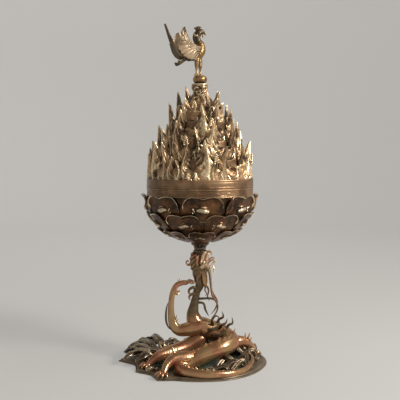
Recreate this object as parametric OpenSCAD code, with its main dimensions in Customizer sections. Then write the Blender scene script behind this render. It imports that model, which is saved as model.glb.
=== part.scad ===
// Bronze hill censer: a petal bowl carried in a dragon's jaws, under a lid of
// mountain ranges with a bird standing on its crown. Millimetres, +Z up, with
// the origin on the floor under the bowl's axis and +X to the viewer's right.

/* [Bowl] */
// Outer radius of the bowl and of the lid at the rim
rim_r = 97.5; // [90:0.5:105]
// Height of the rim's seat above the floor
rim_z = 327; // [315:1:340]
// Height of the plain band below the rim
rim_band_h = 16; // [12:1:20]
// Depth of the rounded part below the band
bowl_depth = 88; // [82:1:94]
// Wall of the bowl
bowl_wall = 3.2; // [2.6:0.1:4.5]
// Petals in each tier
petal_count = 8; // [7:1:9]
// Thickness of a petal
petal_t = 2; // [1.6:0.1:2.4]
// How far a petal's tip stands off the bowl
petal_lift = 7; // [6:0.5:8]
// Turn of the upper tier of petals from the front
petal_turn = 3; // [0:1:20]

/* [Lid] */
// Height of the plain band at the foot of the lid
lid_band_h = 15; // [11:1:19]
// Height of the stepped dome above that band
dome_h = 136; // [124:1:148]
// Radius of the dome's flat crown
crown_r = 28; // [24:0.5:32]
// Wall of the lid
lid_wall = 3; // [2.4:0.1:4]
// Depth of the flange that locates the lid in the bowl
flange_h = 8; // [5:0.5:12]
// Radial play of that flange in the bowl
seat_clear = 0.4; // [0.2:0.05:0.8]
// Height of a mountain peak above its ledge
peak_h = 62; // [52:1:70]
// How much the peaks vary in height, as a share
peak_vary = 0.12; // [0:0.01:0.2]
// How far a peak's tip leans in towards the axis
peak_lean = 4; // [2:0.5:6]
// Depth of the valleys between neighbouring peaks
valley_in = 5; // [3:0.5:6]
// Radius of a smoke vent
vent_r = 2.2; // [1.5:0.1:2.4]

/* [Finial] */
// Height of the rock pillar under the finial
pillar_h = 36; // [30:1:42]
// Outer radius of the finial's bead
bead_r = 13; // [11:0.5:15]
// Height of that bead
bead_h = 15; // [12:0.5:17]
// Radius of the tenons of the pillar and the bead
tenon_r = 4; // [3.2:0.1:5]
// Length of the pillar's tenon below the top of the dome's crown
tenon_drop = 14; // [11:0.5:20]
// Length of the bead's tenon, which sits in the pillar
bead_tenon_l = 14; // [10:0.5:18]
// Radius of the wedge pin under the crown
wedge_r = 1.6; // [1.2:0.1:2]
// Turn of the bird about the axis
bird_turn = 12; // [0:1:25]

/* [Stem] */
// Height of the collar between the bowl and the jaws
collar_h = 17; // [13:0.5:21]
// Radius of that collar
collar_r = 11.5; // [10:0.5:13]
// Height of the dragon's head
head_h = 56; // [52:1:60]
// Radius of the spigot that the jaws hold
spigot_r = 7.5; // [6:0.1:8]
// Length of that spigot
spigot_l = 40; // [32:1:42]
// Radius of the rivet across the spigot
rivet_r = 2; // [1.5:0.1:2.6]

/* [Base] */
// Radius of the base plate
plate_r = 124; // [120:1:132]
// Thickness of the base plate
plate_t = 5; // [4:0.5:8]
// Reach of the pointed wave tongues past the plate's edge
tongue_l = 28; // [14:1:32]

/* [Fits] */
// Gap round a tenon, pin or spigot in its hole
pin_clear = 0.05; // [0.02:0.01:0.1]
// Gap between a cast limb and the body it is brazed to
braze_gap = 0.15; // [0.1:0.05:0.3]
// Gap between a mountain range and the dome it drops over
range_gap = 0.4; // [0.3:0.05:0.6]
// Gap between a petal's root and the bowl
petal_gap = 0.8; // [0.7:0.05:0.9]

/* [Hidden] */
bronze = [0.36, 0.25, 0.17];
gilt = [0.60, 0.44, 0.22];
dark = [0.23, 0.17, 0.12];
far = 400;

// Levels up the axis
band_z = rim_z - rim_band_h;
bowl_z = band_z - bowl_depth;
dome_z = rim_z + lid_band_h;
crown_z = dome_z + dome_h;
bead_z = crown_z + pillar_h;
perch_z = bead_z + bead_h;
jaw_z = bowl_z - collar_h;
nape_z = jaw_z - head_h;

// Ranges: every terrace of the dome is a ledge, then a wall with a little draft
range_count = 4;
wall_draft = 3;
step_h = dome_h / range_count;
ledge_w = (rim_r - crown_r) / range_count - wall_draft;
peak_counts = [15, 13, 10, 7];
peak_cols = 6;
function wall_r(k) = rim_r - k * (ledge_w + wall_draft) - ledge_w;
function ledge_z(k) = dome_z + k * step_h;

// Small vector helpers
function lerp(a, b, t) = a + (b - a) * t;
function unit(v) = v / norm(v);
function xyz(p) = [p[0], p[1], p[2]];
function flat(lists) = [for (l = lists) each l];

// A smooth curve through points of any length, n steps to each span
function spline_at(a, b, c, d, t) =
    0.5 * (2 * b + (c - a) * t + (2 * a - 5 * b + 4 * c - d) * t * t
        + (3 * b - a - 3 * c + d) * t * t * t);
function spline(p, n) = [
    for (i = [0 : len(p) - 2])
        for (s = [0 : n - 1])
            spline_at(p[max(i - 1, 0)], p[i], p[i + 1], p[min(i + 2, len(p) - 1)], s / n),
    p[len(p) - 1]
];

// Directions along a curve, and sideways directions carried along it without twist
function tangents(p) = [
    for (i = [0 : len(p) - 1])
        unit(xyz(p[min(i + 1, len(p) - 1)]) - xyz(p[max(i - 1, 0)]))
];
function carried(t, first) = [
    for (i = 0, n = unit(first - t[0] * (first * t[0])); i < len(t);
         i = i + 1, n = i < len(t) ? unit(n - t[i] * (n * t[i])) : n) n
];

// A closed tube along [x, y, z, r] points. Points under the floor are set on it.
module tube(path, sides, first = [1, 0, 0], grow = 0, floor_z = -far) {
    t = tangents(path);
    n = carried(t, first);
    last = len(path) - 1;
    points = [
        for (i = [0 : last])
            for (j = [0 : sides - 1])
                let (a = 360 * j / sides,
                     q = xyz(path[i]) + (path[i][3] + grow)
                         * (n[i] * cos(a) + cross(t[i], n[i]) * sin(a)))
                    [q[0], q[1], max(q[2], floor_z)]
    ];
    walls = [
        for (i = [0 : last - 1])
            for (j = [0 : sides - 1])
                let (k = (j + 1) % sides, a = i * sides, b = a + sides)
                    each [[a + j, b + j, b + k], [a + j, b + k, a + k]]
    ];
    caps = [
        for (j = [1 : sides - 2])
            each [[0, j, j + 1], [last * sides, last * sides + j + 1, last * sides + j]]
    ];
    polyhedron(points, concat(walls, caps), convexity = 8);
}

// A closed leaf between two grids of points, rows up and columns across
module leaf(outer, inner, round = false) {
    rows = len(outer);
    cols = len(outer[0]);
    half = rows * cols;
    spans = round ? cols : cols - 1;
    skins = [
        for (i = [0 : rows - 2])
            for (j = [0 : spans - 1])
                let (k = (j + 1) % cols, a = i * cols, b = a + cols)
                    each [[a + j, b + j, b + k], [a + j, b + k, a + k],
                          [half + a + j, half + b + k, half + b + j],
                          [half + a + j, half + a + k, half + b + k]]
    ];
    edges = [
        for (j = [0 : spans - 1])
            let (k = (j + 1) % cols, b = (rows - 1) * cols)
                each [[j, k, half + k], [j, half + k, half + j],
                      [b + j, half + b + k, b + k], [b + j, half + b + j, half + b + k]]
    ];
    sides = round ? [] : [
        for (i = [0 : rows - 2])
            let (a = i * cols, b = a + cols, c = a + cols - 1, d = b + cols - 1)
                each [[a, half + a, half + b], [a, half + b, b],
                      [c, half + d, half + c], [c, d, half + d]]
    ];
    polyhedron(concat(flat(outer), flat(inner)), concat(skins, edges, sides), convexity = 8);
}

// The base: a round plate whose left edge runs out into pointed wave tongues,
// with a lower step all round
tongue_turns = [180, 211, 238, 152];
tongue_shares = [1, 0.4, 0.5, 0.35];
tongue_half = 13;
ripple_count = 6;
ripple_depth = 1.5;
step_in = 4;

function plate_edge(a, inset) =
    let (bulges = [
             for (i = [0 : len(tongue_turns) - 1])
                 let (off = abs(a - tongue_turns[i]) / tongue_half)
                     off < 1 ? tongue_shares[i] * pow(1 - off, 1.4) : 0
         ])
        plate_r - inset + tongue_l * max(bulges) - ripple_depth * (1 - cos(ripple_count * a)) / 2;

module plate_layer(inset, h) {
    linear_extrude(h)
        polygon([for (a = [0 : 3 : 357]) plate_edge(a, inset) * [cos(a), sin(a)]]);
}

module base_plate() {
    color(dark) {
        plate_layer(0, plate_t / 2);
        plate_layer(step_in, plate_t);
    }
}

// Wave scrolls: tapered volutes that lie on the plate towards its back
scroll_turns = [44, 72, 100, 128];
scroll_ring_r = plate_r - 34;
scroll_r = 20;
scroll_tube = 6;
scroll_rings = 10;

module scroll(turn) {
    path = [
        for (i = [0 : scroll_rings])
            let (s = i / scroll_rings, a = 540 * s, r = scroll_r * (1 - 0.76 * s))
                [r * cos(a), r * sin(a), plate_t + scroll_tube * (0.8 + 2.2 * s),
                 scroll_tube * (1 - 0.55 * s)]
    ];
    rotate(turn) translate([scroll_ring_r, 0, 0]) rotate(200)
        tube(path, 5, [0, 0, 1], 0, plate_t);
}

module wave_scrolls() {
    color(bronze) for (turn = scroll_turns) scroll(turn);
}

// Wave crests: tongues of water that swirl out over the left edge of the plate
crest_turns = [146, 163, 180, 196];
crest_in = plate_r - 38;

module wave_crests() {
    color(bronze)
    for (turn = crest_turns) {
        path = spline([
            for (c = [[0, 0, 2, 6], [9, -3, 20, 8], [25, -6, 28, 7.2], [42, -8, 19, 5], [56, -5, 7, 1]])
                let (r = crest_in + c[0], a = turn + c[1]) [r * cos(a), r * sin(a), plate_t + c[2], c[3]]
        ], 2);
        tube(path, 5, [0, 0, 1], 0, plate_t);
    }
}

// The dragon: its body falls from the nape to the chest, turns at the right,
// crosses the front, doubles back at the left and ends in a tail along the edge.
// Points away from the neck are given for a plate of radius route_r.
chest_z = plate_t + 60;
function neck(share, x, y, r) = [x, y, lerp(chest_z, nape_z, share), r];
route_r = 124;
spread = plate_r / route_r;
function lying(x, y, r) = [x * spread, y * spread, plate_t + 0.88 * r, r];
function raised(x, y, z, r) = [x * spread, y * spread, plate_t + z, r];
nape_r = 8.5;
dragon_points = [
    neck(0.96, 0, 0, nape_r), neck(0.88, -2, 0, 7.6), neck(0.8, -5.5, 0, 7), neck(0.66, -8, 0, 6.8),
    neck(0.48, -11, 1, 8.4),
    neck(0.28, -13, 2, 12), neck(0.08, -7, 3, 17), raised(8, 4, 57, 19.5), raised(30, 4, 50, 18.5),
    raised(48, -6, 43, 17.5), raised(56, -24, 38, 16.5), raised(40, -45, 34, 16), raised(8, -58, 25, 15.5),
    lying(-20, -67, 14), lying(-36, -81, 11.5), lying(-30, -99, 9.4), lying(-10, -111, 8),
    lying(16, -115, 7), lying(46, -108, 6), lying(74, -89, 5),
    raised(90, -64, 9, 3.8), raised(94, -46, 16, 2.6), raised(88, -34, 22, 1.2)
];
dragon_path = concat([neck(1, 0, 0, nape_r)], spline(dragon_points, 3));
dragon_sides = 9;

module dragon_solid(grow = 0) {
    tube(dragon_path, dragon_sides, [1, 0, 0], grow, plate_t - grow);
}

module dragon_body() {
    color(bronze) dragon_solid();
}

// Spines along the back, from the turn at the right to the tail
spine_h = 9;
spine_l = 11;
spine_w = 2.4;

module dragon_spines() {
    t = tangents(dragon_path);
    color(bronze)
    difference() {
        for (i = [each [31 : 2 : 39], each [47 : 2 : 53]]) {
            p = dragon_path[i];
            out = unit(cross(t[i], cross([0.3, -0.2, 1], t[i])));
            wide = cross(t[i], out) * spine_w;
            root = xyz(p) + out * (p[3] - 2);
            tail = root - t[i] * spine_l;
            hull() polyhedron(
                [root, tail + wide, tail - wide, tail + out * (spine_h + 2) - t[i] * 3],
                [[0, 1, 2], [0, 2, 3], [0, 3, 1], [1, 3, 2]]);
        }
        dragon_solid(braze_gap);
    }
}

// A leg is a tapered tube that ends in spread claws. What would enter the body
// or the plate is cut away, so that the hip seats on the body.
claw_l = 16;
claw_r = 2.8;

module claws(at, heading, drop) {
    for (spread = [-50, -17, 17, 50]) {
        a = heading + spread;
        knuckle = at + [0.5 * claw_l * cos(a), 0.5 * claw_l * sin(a), 1.8];
        tip = at + [claw_l * cos(a), claw_l * sin(a), -drop];
        hull() {
            translate(at) sphere(claw_r, $fn = 6);
            translate(knuckle) sphere(claw_r * 0.9, $fn = 6);
        }
        hull() {
            translate(knuckle) sphere(claw_r * 0.9, $fn = 6);
            translate(tip) sphere(0.5, $fn = 4);
        }
    }
}

module leg(points, heading, drop = 3) {
    last = points[len(points) - 1];
    difference() {
        union() {
            tube(spline(points, 2), 7, [0, 0.6, 0.8]);
            claws(xyz(last), heading, drop);
        }
        dragon_solid(braze_gap);
        translate([-far / 2, -far / 2, plate_t - far]) cube([far, far, far]);
    }
}

module raised_foreleg() {
    color(bronze)
    leg([raised(0, -6, 62, 13), raised(-21, -11, 59, 13), raised(-39, -12, 58, 10.8),
         neck(0.12, -50, -12, 8), neck(0.42, -53.5, -11, 5.8), neck(0.74, -51, -10, 5.2),
         neck(0.93, -44, -8, 4.9), neck(0.99, -33, -6, 4.6), neck(0.99, -25, -4, 4.3)], 8, -3);
}

module planted_foreleg() {
    color(bronze)
    leg([raised(0, 0, 38, 14), raised(-26, -10, 25, 14), raised(-52, -26, 20, 12.5),
         raised(-74, -41, 17, 9.5), raised(-88, -51, 9, 6.5), raised(-93, -55, 4, 5)], 210);
}

module front_hindleg() {
    color(bronze)
    leg([raised(-24, -68, 19, 11), raised(-46, -80, 22, 9.5), raised(-58, -92, 15, 7),
         raised(-61, -100, 8, 5.6), raised(-62, -105, 4, 4.6)], 245);
}

module side_hindleg() {
    color(bronze)
    leg([raised(58, -14, 36, 10), raised(82, -6, 34, 8.5), raised(97, 4, 20, 6.6),
         raised(101, 12, 9, 5.4), raised(102, 17, 4, 4.6)], 80);
}

// The head: a skull whose mouth, turned up, is the socket of the bowl's spigot
skull_r = 15.5;
socket_r = spigot_r + pin_clear;
rivet_z = jaw_z - 0.55 * spigot_l;
skull_top = jaw_z - 22;

module socket_cut() {
    translate([0, 0, jaw_z - spigot_l - 1]) cylinder(r = socket_r, h = far, $fn = 64);
}

module rivet_hole(r) {
    translate([0, 0, rivet_z]) rotate([90, 0, 0]) cylinder(r = r, h = 2 * far, center = true, $fn = 32);
}

brow_r = 4.5;
brow_x = 10;
brow_y = skull_r - 4;
brow_z = skull_top - brow_r;
function brow(side, x, z, r) = [brow_x + x, side * (brow_y + 5 + 0.12 * x), brow_z + z, r];

module dragon_head() {
    color(bronze)
    difference() {
        union() {
            translate([0, 0, nape_z])
                cylinder(r1 = nape_r, r2 = skull_r, h = skull_top - nape_z - 12, $fn = 64);
            translate([0, 0, skull_top - 12]) cylinder(r = skull_r, h = 12, $fn = 64);
            hull() {
                translate([9, 0, skull_top - 8]) sphere(9.5, $fn = 16);
                translate([9, 0, jaw_z - 9]) sphere(7, $fn = 16);
            }
            translate([13.5, 0, jaw_z - 7]) sphere(4.5, $fn = 32);
            for (side = [-1, 1])
                translate([brow_x, side * brow_y, brow_z]) sphere(brow_r, $fn = 32);
        }
        socket_cut();
        rivet_hole(rivet_r + pin_clear);
        translate([0, 0, jaw_z - 0.5]) cylinder(r = far, h = far, $fn = 32);
        translate([-far, -far, skull_top]) cube([far + 2, 2 * far, far]);
    }
}

// The lower jaw closes on the other side of the spigot
module dragon_jaw() {
    color(bronze)
    difference() {
        hull() {
            translate([-10, 0, skull_top + 6]) sphere(8.6, $fn = 16);
            translate([-10.5, 0, jaw_z - 7]) sphere(7.4, $fn = 16);
        }
        socket_cut();
        translate([-far, -far, skull_top - far]) cube([2 * far, 2 * far, far]);
        translate([-far, -far, jaw_z - 0.5]) cube([2 * far, 2 * far, far]);
        translate([2, -far, 0]) cube([far, 2 * far, far]);
    }
}

// Two horns sweep down from the brow, outside the neck
module dragon_horns() {
    color(bronze)
    for (side = [-1, 1])
        difference() {
            tube(spline([brow(side, 0, 0, 2.6), brow(side, 7, -8, 2.7), brow(side, 10, -32, 2.2),
                         brow(side, 13, -52, 1.9), brow(side, 22, -68, 1.6), brow(side, 20, -82, 1.4),
                         brow(side, 11, -94, 0.8)], 3),
                 5, [0, 1, 0]);
            translate([brow_x, side * brow_y, brow_z]) sphere(brow_r + braze_gap, $fn = 32);
            cylinder(r = skull_r + braze_gap, h = far, $fn = 64);
        }
}

// Strands of mane leave the neck and the shoulder on the right
mane_strands = [
    [neck(0.94, 3, 1, 3.2), neck(0.9, 13, 0, 2.8), neck(0.8, 16, -1, 2.4), neck(0.68, 14, -1, 2),
     neck(0.58, 18, -1, 0.9)],
    [neck(0.62, -7, 1, 3.2), neck(0.64, 8, -2, 2.6), neck(0.64, 21, -3, 2.4), neck(0.58, 31, -3, 2),
     neck(0.48, 30, -3, 0.9)],
    [neck(0.54, -8, 2, 3.2), neck(0.52, 6, 3, 2.6), neck(0.38, 10, 3, 2.4), neck(0.26, 15, 3, 1.4)],
    [raised(30, 2, 60, 4), raised(35, 0, 74, 3.4), raised(43, -2, 80, 2.6), raised(41, -3, 90, 0.9)],
    [raised(46, -5, 50, 4), raised(52, -8, 65, 3.4), raised(60, -9, 70, 2.4), raised(59, -10, 81, 0.9)]
];

module dragon_mane() {
    color(bronze)
    difference() {
        for (strand = mane_strands) {
            path = spline(strand, 1);
            for (k = [0 : len(path) - 2])
                hull()
                    for (p = [path[k], path[k + 1]])
                        translate(xyz(p)) sphere(p[3], $fn = 6);
        }
        dragon_solid(braze_gap);
    }
}

// The rivet that holds the spigot in the jaws
module stem_rivet() {
    color(dark) translate([0, 0, rivet_z]) rotate([90, 0, 0])
        cylinder(r = rivet_r, h = 2 * skull_r + 1, center = true, $fn = 32);
}

// The collar: a turned neck with a spigot below and a riveted tenon above
flange_r = collar_r + 5;
collar_tenon_r = 5;
boss_h = 1.5;
boss_z = bowl_z - boss_h;
boss_top = bowl_z + bowl_wall + 2;
rivet_head_h = 4;

module bowl_collar() {
    color(dark)
    difference() {
        union() {
            translate([0, 0, jaw_z - spigot_l]) cylinder(r = spigot_r, h = spigot_l + 1, $fn = 64);
            translate([0, 0, jaw_z]) cylinder(r = collar_r, h = boss_z - jaw_z, $fn = 64);
            translate([0, 0, boss_z - 6]) cylinder(r1 = collar_r, r2 = flange_r, h = 6, $fn = 64);
            translate([0, 0, boss_z - 1])
                cylinder(r = collar_tenon_r, h = boss_top + rivet_head_h - boss_z + 1, $fn = 48);
        }
        rivet_hole(rivet_r + pin_clear);
    }
}

// The peened head of that tenon, inside the bowl
module collar_rivet() {
    color(dark)
    translate([0, 0, boss_top])
    difference() {
        cylinder(r1 = collar_tenon_r + 4, r2 = collar_tenon_r + 2, h = rivet_head_h, $fn = 48);
        translate([0, 0, -1]) cylinder(r = collar_tenon_r + pin_clear, h = rivet_head_h + 2, $fn = 48);
    }
}

// The bowl: half an ellipse turned about the axis, under a plain band
function bowl_r(z) = z >= band_z ? rim_r
    : rim_r * sqrt(max(0, 1 - pow((band_z - z) / bowl_depth, 2)));
function bowl_arc(r, depth) = [
    for (a = [0 : 5 : 90]) [r * sin(a), band_z - depth * cos(a)]
];
bead_line = 1.2;

module bowl_shell() {
    inner_r = rim_r - bowl_wall;
    color(bronze)
    difference() {
        union() {
            rotate_extrude($fn = 128)
                polygon(concat(bowl_arc(rim_r, bowl_depth), [[rim_r, rim_z], [0, rim_z]]));
            translate([0, 0, boss_z]) cylinder(r = flange_r, h = boss_h + 4, $fn = 64);
            translate([0, 0, rim_z - 2.4]) rim_bead();
            translate([0, 0, band_z + 1.2]) rim_bead();
        }
        difference() {
            rotate_extrude($fn = 128)
                polygon(concat(bowl_arc(inner_r, bowl_depth - bowl_wall),
                               [[inner_r, rim_z + 1], [0, rim_z + 1]]));
            cylinder(r = flange_r, h = boss_top, $fn = 64);
        }
        translate([0, 0, boss_z - 1]) cylinder(r = collar_tenon_r + pin_clear, h = far, $fn = 48);
    }
}

// A half-round line raised on a band
module rim_bead() {
    rotate_extrude($fn = 128) translate([rim_r - 0.4, 0]) circle(r = bead_line, $fn = 24);
}

// A lotus petal: two round lobes that meet in a notch, cupped off the bowl
petal_rows = [0, 0.4, 0.75, 1];
petal_cols = 8;

function petal_width(v) = max(0.3, sqrt(max(0, 1 - pow(1 - min(v / 0.6, 1), 2))));
function petal_top(u) = 1 - 0.1 * pow(1 - min(2 * abs(u), 1), 2) - 0.3 * pow(max(2 * abs(u) - 1, 0), 2);

module petal(low_z, high_z, half_deg, cols) {
    grids = [
        for (side = [1, 0]) [
            for (v = petal_rows) [
                for (j = [0 : cols])
                    let (u = 2 * j / cols - 1,
                         z = lerp(low_z, high_z, v * petal_top(u)),
                         out = petal_gap + side * petal_t + petal_lift * pow(v, 4),
                         a = u * half_deg * petal_width(v),
                         r = bowl_r(z) + out)
                        [r * cos(a), r * sin(a), z - 0.45 * out * max(0, band_z - z) / bowl_depth]
            ]
        ]
    ];
    leaf(grids[0], grids[1]);
}

module petal_tier(low, high, turn, cols = petal_cols) {
    color(bronze)
    for (i = [0 : petal_count - 1])
        rotate(turn - 90 + 360 * i / petal_count)
            petal(bowl_z + low * bowl_depth, bowl_z + high * bowl_depth, 160 / petal_count, cols);
}

module petals_upper() { petal_tier(0.53, 1.03, petal_turn); }
module petals_middle() { petal_tier(0.245, 0.64, petal_turn + 180 / petal_count); }
module petals_lower() { petal_tier(0.05, 0.32, petal_turn, 6); }

// The lid: a stepped dome. Each ledge carries one range of mountains.
function dome_side(inset) = [
    for (k = [0 : range_count - 1])
        each [[wall_r(k) - inset, ledge_z(k) - inset],
              [wall_r(k) - wall_draft - inset, ledge_z(k + 1) - inset]]
];
flange_r_out = rim_r - bowl_wall - seat_clear;

module lid_shell() {
    color(bronze)
    difference() {
        union() {
            rotate_extrude($fn = 128)
                polygon(concat([[0, rim_z], [rim_r, rim_z], [rim_r, dome_z]],
                               dome_side(0), [[0, crown_z]]));
            translate([0, 0, rim_z - flange_h])
                cylinder(r = flange_r_out, h = flange_h + 1, $fn = 128);
            translate([0, 0, rim_z + 2.4]) rim_bead();
        }
        rotate_extrude($fn = 128)
            polygon(concat([[0, rim_z - flange_h - 1], [flange_r_out - lid_wall, rim_z - flange_h - 1],
                            [flange_r_out - lid_wall, dome_z - lid_wall]],
                           dome_side(lid_wall), [[0, crown_z - lid_wall]]));
        translate([0, 0, crown_z - far]) cylinder(r = tenon_r + pin_clear, h = 2 * far, $fn = 48);
        vents();
    }
}

// Smoke vents open behind every second valley, above the foot of each range
module vents() {
    for (k = [0 : range_count - 2])
        for (i = [0 : 2 : peak_counts[k] - 1])
            rotate(360 * (i + 0.5) / peak_counts[k])
                translate([wall_r(k) - 3 * lid_wall, 0, ledge_z(k) + 0.8 * step_h])
                    rotate([0, 90, 0]) cylinder(r = vent_r, h = 5 * lid_wall, $fn = 24);
}

// A mountain range: a ring of pointed peaks that drops over one terrace. Each
// peak has its tip and a lower side peak, on its left or its right by turns.
// Both stand out from the range, and the valleys between them lie back.
peak_edge = [0.36, 0.62, 0.5, 1, 0.7, 0.54];
peak_back = [1, 0.1, 0.9, 0, 0.6, 0.8];
peak_rows = [0, 0.4, 0.76, 1];
valley_share = peak_edge[0];
tip_col = 3;

function peak_size(k, i) = 1 + peak_vary * sin(137.5 * i + 71 * k);
function peak_shift(k, i) = 0.22 * sin(197 * i + 53 * k);

module mountain_range(k) {
    n = peak_counts[k];
    cols = n * peak_cols;
    root_out = (k == 0 ? rim_r : wall_r(k - 1) - wall_draft) - 0.6;
    root_in = wall_r(k) + range_gap;
    grids = [
        for (side = [1, 0]) [
            for (t = peak_rows) [
                for (j = [0 : cols - 1])
                    let (i = floor(j / peak_cols),
                         c = j % peak_cols,
                         e = i % 2 == 0 || c == 0 ? c : peak_cols - c,
                         share = peak_edge[e],
                         far_side = abs(c - tip_col) / tip_col,
                         h = peak_h * (c == 0 ? share : share * peak_size(k, i)),
                         out = root_out - valley_in * peak_back[e] * (1 - 0.4 * t) - peak_lean * t,
                         thick = lerp(root_out - root_in - valley_in * peak_back[e], 1.5, pow(t, 0.7)),
                         r = side == 1 ? out : out - thick,
                         a = 360 * (i + c / peak_cols + peak_shift(k, i) * (1 - far_side)) / n)
                        [r * cos(a), r * sin(a), ledge_z(k) + t * h]
            ]
        ]
    ];
    color(bronze) leaf(grids[0], grids[1], true);
}

module foothill_range() { mountain_range(0); }
module middle_range() { mountain_range(1); }
module upper_range() { mountain_range(2); }
module summit_range() { mountain_range(3); }

// The rock pillar on the crown, waisted, with a collar for the bead. Its own tenon goes through the crown
// and is held there by the wedge pin, and a blind socket in its top takes the bead's tenon.
wedge_z = crown_z - lid_wall - wedge_r - pin_clear;
socket_gap = 0.5;

module rock_pillar() {
    neck_r = bead_r;
    color(bronze)
    difference() {
        union() {
            rotate_extrude($fn = 96)
                polygon(concat(
                    [[0, crown_z]],
                    [for (a = [0 : 10 : 90])
                        [neck_r + (crown_r - 2 - neck_r) * (1 - sin(a)),
                         crown_z + 0.72 * pillar_h * (1 - cos(a))]],
                    [[neck_r + 2.5, bead_z - 4], [neck_r + 2.5, bead_z - 1], [neck_r, bead_z], [0, bead_z]]));
            translate([0, 0, crown_z - tenon_drop]) cylinder(r = tenon_r, h = tenon_drop + 1, $fn = 48);
        }
        translate([0, 0, bead_z - bead_tenon_l - socket_gap])
            cylinder(r = tenon_r + pin_clear, h = bead_tenon_l + 2, $fn = 48);
        translate([0, 0, wedge_z]) rotate([90, 0, 0])
            cylinder(r = wedge_r + pin_clear, h = 4 * tenon_r, center = true, $fn = 24);
    }
}

// The finial's bead, with a short tenon down into the pillar
module finial_bead() {
    half = bead_h / 2;
    color(gilt)
    union() {
        rotate_extrude($fn = 96)
            polygon(concat([[0, bead_z]],
                           [for (a = [-90 : 15 : 90])
                               [bead_r - half + half * cos(a), bead_z + half + half * sin(a)]],
                           [[0, perch_z]]));
        translate([0, 0, bead_z - bead_tenon_l]) cylinder(r = tenon_r, h = bead_tenon_l + 1, $fn = 48);
    }
}

// The wedge pin through the pillar's tenon, under the crown
module finial_wedge() {
    color(dark) translate([0, 0, wedge_z]) rotate([90, 0, 0])
        cylinder(r = wedge_r, h = 5 * tenon_r, center = true, $fn = 24);
}

// The bird: its trunk runs from the rump through breast and neck to the beak
function on_perch(x, y, z, r = 0) = [x, y, perch_z + z, r];
bird_points = [
    on_perch(-20, 0, 31, 3.6), on_perch(-13, 0, 33, 7.5), on_perch(-5, 0, 37, 10.5),
    on_perch(0, 0, 45, 10.4), on_perch(1, 0, 54, 7.8), on_perch(-3, 0, 61, 5.8),
    on_perch(-5, 0, 68, 5.4), on_perch(-3, 0, 75, 6.4), on_perch(2, 0, 78, 5.4),
    on_perch(7, 0, 76, 2.8), on_perch(10.5, 0, 72, 0.6)
];

module bird_solid(grow = 0) {
    rotate(bird_turn) tube(spline(bird_points, 2), 10, [0, 1, 0], grow);
}

module bird_body() {
    color(gilt) bird_solid();
}

toe_l = 6;

module bird_legs() {
    color(gilt)
    difference() {
        rotate(bird_turn)
        for (side = [-1, 1])
            translate([-3, side * 4.2, perch_z]) {
                hull() {
                    translate([0, 0, 9]) sphere(1.6, $fn = 8);
                    translate([-2, side, 30]) sphere(4, $fn = 8);
                }
                hull() {
                    sphere(1.6, $fn = 8);
                    translate([0, 0, 9]) sphere(1.6, $fn = 8);
                }
                for (a = [-26, 4, 34])
                    hull() {
                        sphere(1.5, $fn = 6);
                        translate([toe_l * cos(a), side * toe_l * sin(a), 0]) sphere(1, $fn = 6);
                    }
            }
        bird_solid(braze_gap);
        translate([-far / 2, -far / 2, perch_z - far]) cube([far, far, far]);
    }
}

// Crest: three plumes that rise from the head
crest_h = 9;

module bird_crest() {
    color(gilt)
    difference() {
        rotate(bird_turn)
        for (i = [-1 : 1])
            for (k = [0 : 2])
                hull()
                    for (s = [k, k + 1])
                        translate(xyz(on_perch(-2 - 2 * i - s * (0.8 + 0.9 * i), 0.9 * i,
                                               79.5 + s * crest_h / 3 * (1 - 0.2 * abs(i)))))
                            sphere(1.5 - 0.3 * s, $fn = 5);
        bird_solid(braze_gap);
    }
}

// A wing: a curved blade from the shoulder back and up to its tip
wing_root_y = 10.9;
wing_t = 2.2;
wing_rows = 8;
wing_cols = 4;
wing_lead = [[-1, 0, 50], [-9, 5, 51], [-19, 12, 56], [-28, 18, 66], [-34, 21, 81]];
wing_trail = [[-9, 0, 27], [-23, 6, 28], [-38, 14, 36], [-46, 20, 54], [-38, 23, 79]];

function wing_point(side, i, c, skin, p) =
    [p[0], side * (wing_root_y + p[1] + 4 * sin(180 * c) * sin(180 * i / wing_rows)
                   + skin * wing_t * (1 - 0.5 * i / wing_rows)), perch_z + p[2]];

module wing(side) {
    lead = spline(wing_lead, 2);
    trail = spline(wing_trail, 2);
    grids = [
        for (skin = [1, 0]) [
            for (i = [0 : wing_rows]) [
                for (j = [0 : wing_cols])
                    let (c = j / wing_cols)
                        wing_point(side, i, c, skin, lerp(trail[i], lead[i], c))
            ]
        ]
    ];
    color(gilt) rotate(bird_turn)
        if (side < 0) leaf(grids[0], grids[1]);
        else leaf(grids[1], grids[0]);
}

module bird_near_wing() { wing(-1); }
module bird_far_wing() { wing(1); }

// Tail: plumes that leave the rump side by side. The middle one sweeps up behind
// the wings, and the outer ones hang lower and turn up at the end.
tail_spread = [-2 : 2];
plume_w = 3.4;
plume_t = 1.6;

module bird_tail() {
    color(gilt) rotate(bird_turn)
    for (i = tail_spread) {
        n_out = abs(i);
        spine = spline([[-20.4, 1.8 * i, 31], [-33 + 2 * n_out, 4 * i, 32 - 3 * n_out],
                        [-46 + 5 * n_out, 6 * i, 44 - 11.5 * n_out],
                        [-57 + 8 * n_out, 7.5 * i, 67 - 24 * n_out],
                        [-65 + 11 * n_out, 8.5 * i, 90 - 33 * n_out]], 2);
        last = len(spine) - 1;
        grids = [
            for (skin = [-1, 1]) [
                for (n = [0 : last])
                    let (s = n / last,
                         w = plume_w * (0.22 + 0.5 * pow(sin(180 * s), 2)),
                         d = unit(spine[min(n + 1, last)] - spine[max(n - 1, 0)]),
                         up = cross(d, [0, 1, 0]) * plume_t * (0.5 - 0.3 * s))
                        [for (e = [-1, 1]) [0, e * w, perch_z] + spine[n] + up * skin]
            ]
        ];
        leaf(grids[0], grids[1]);
    }
}

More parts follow.
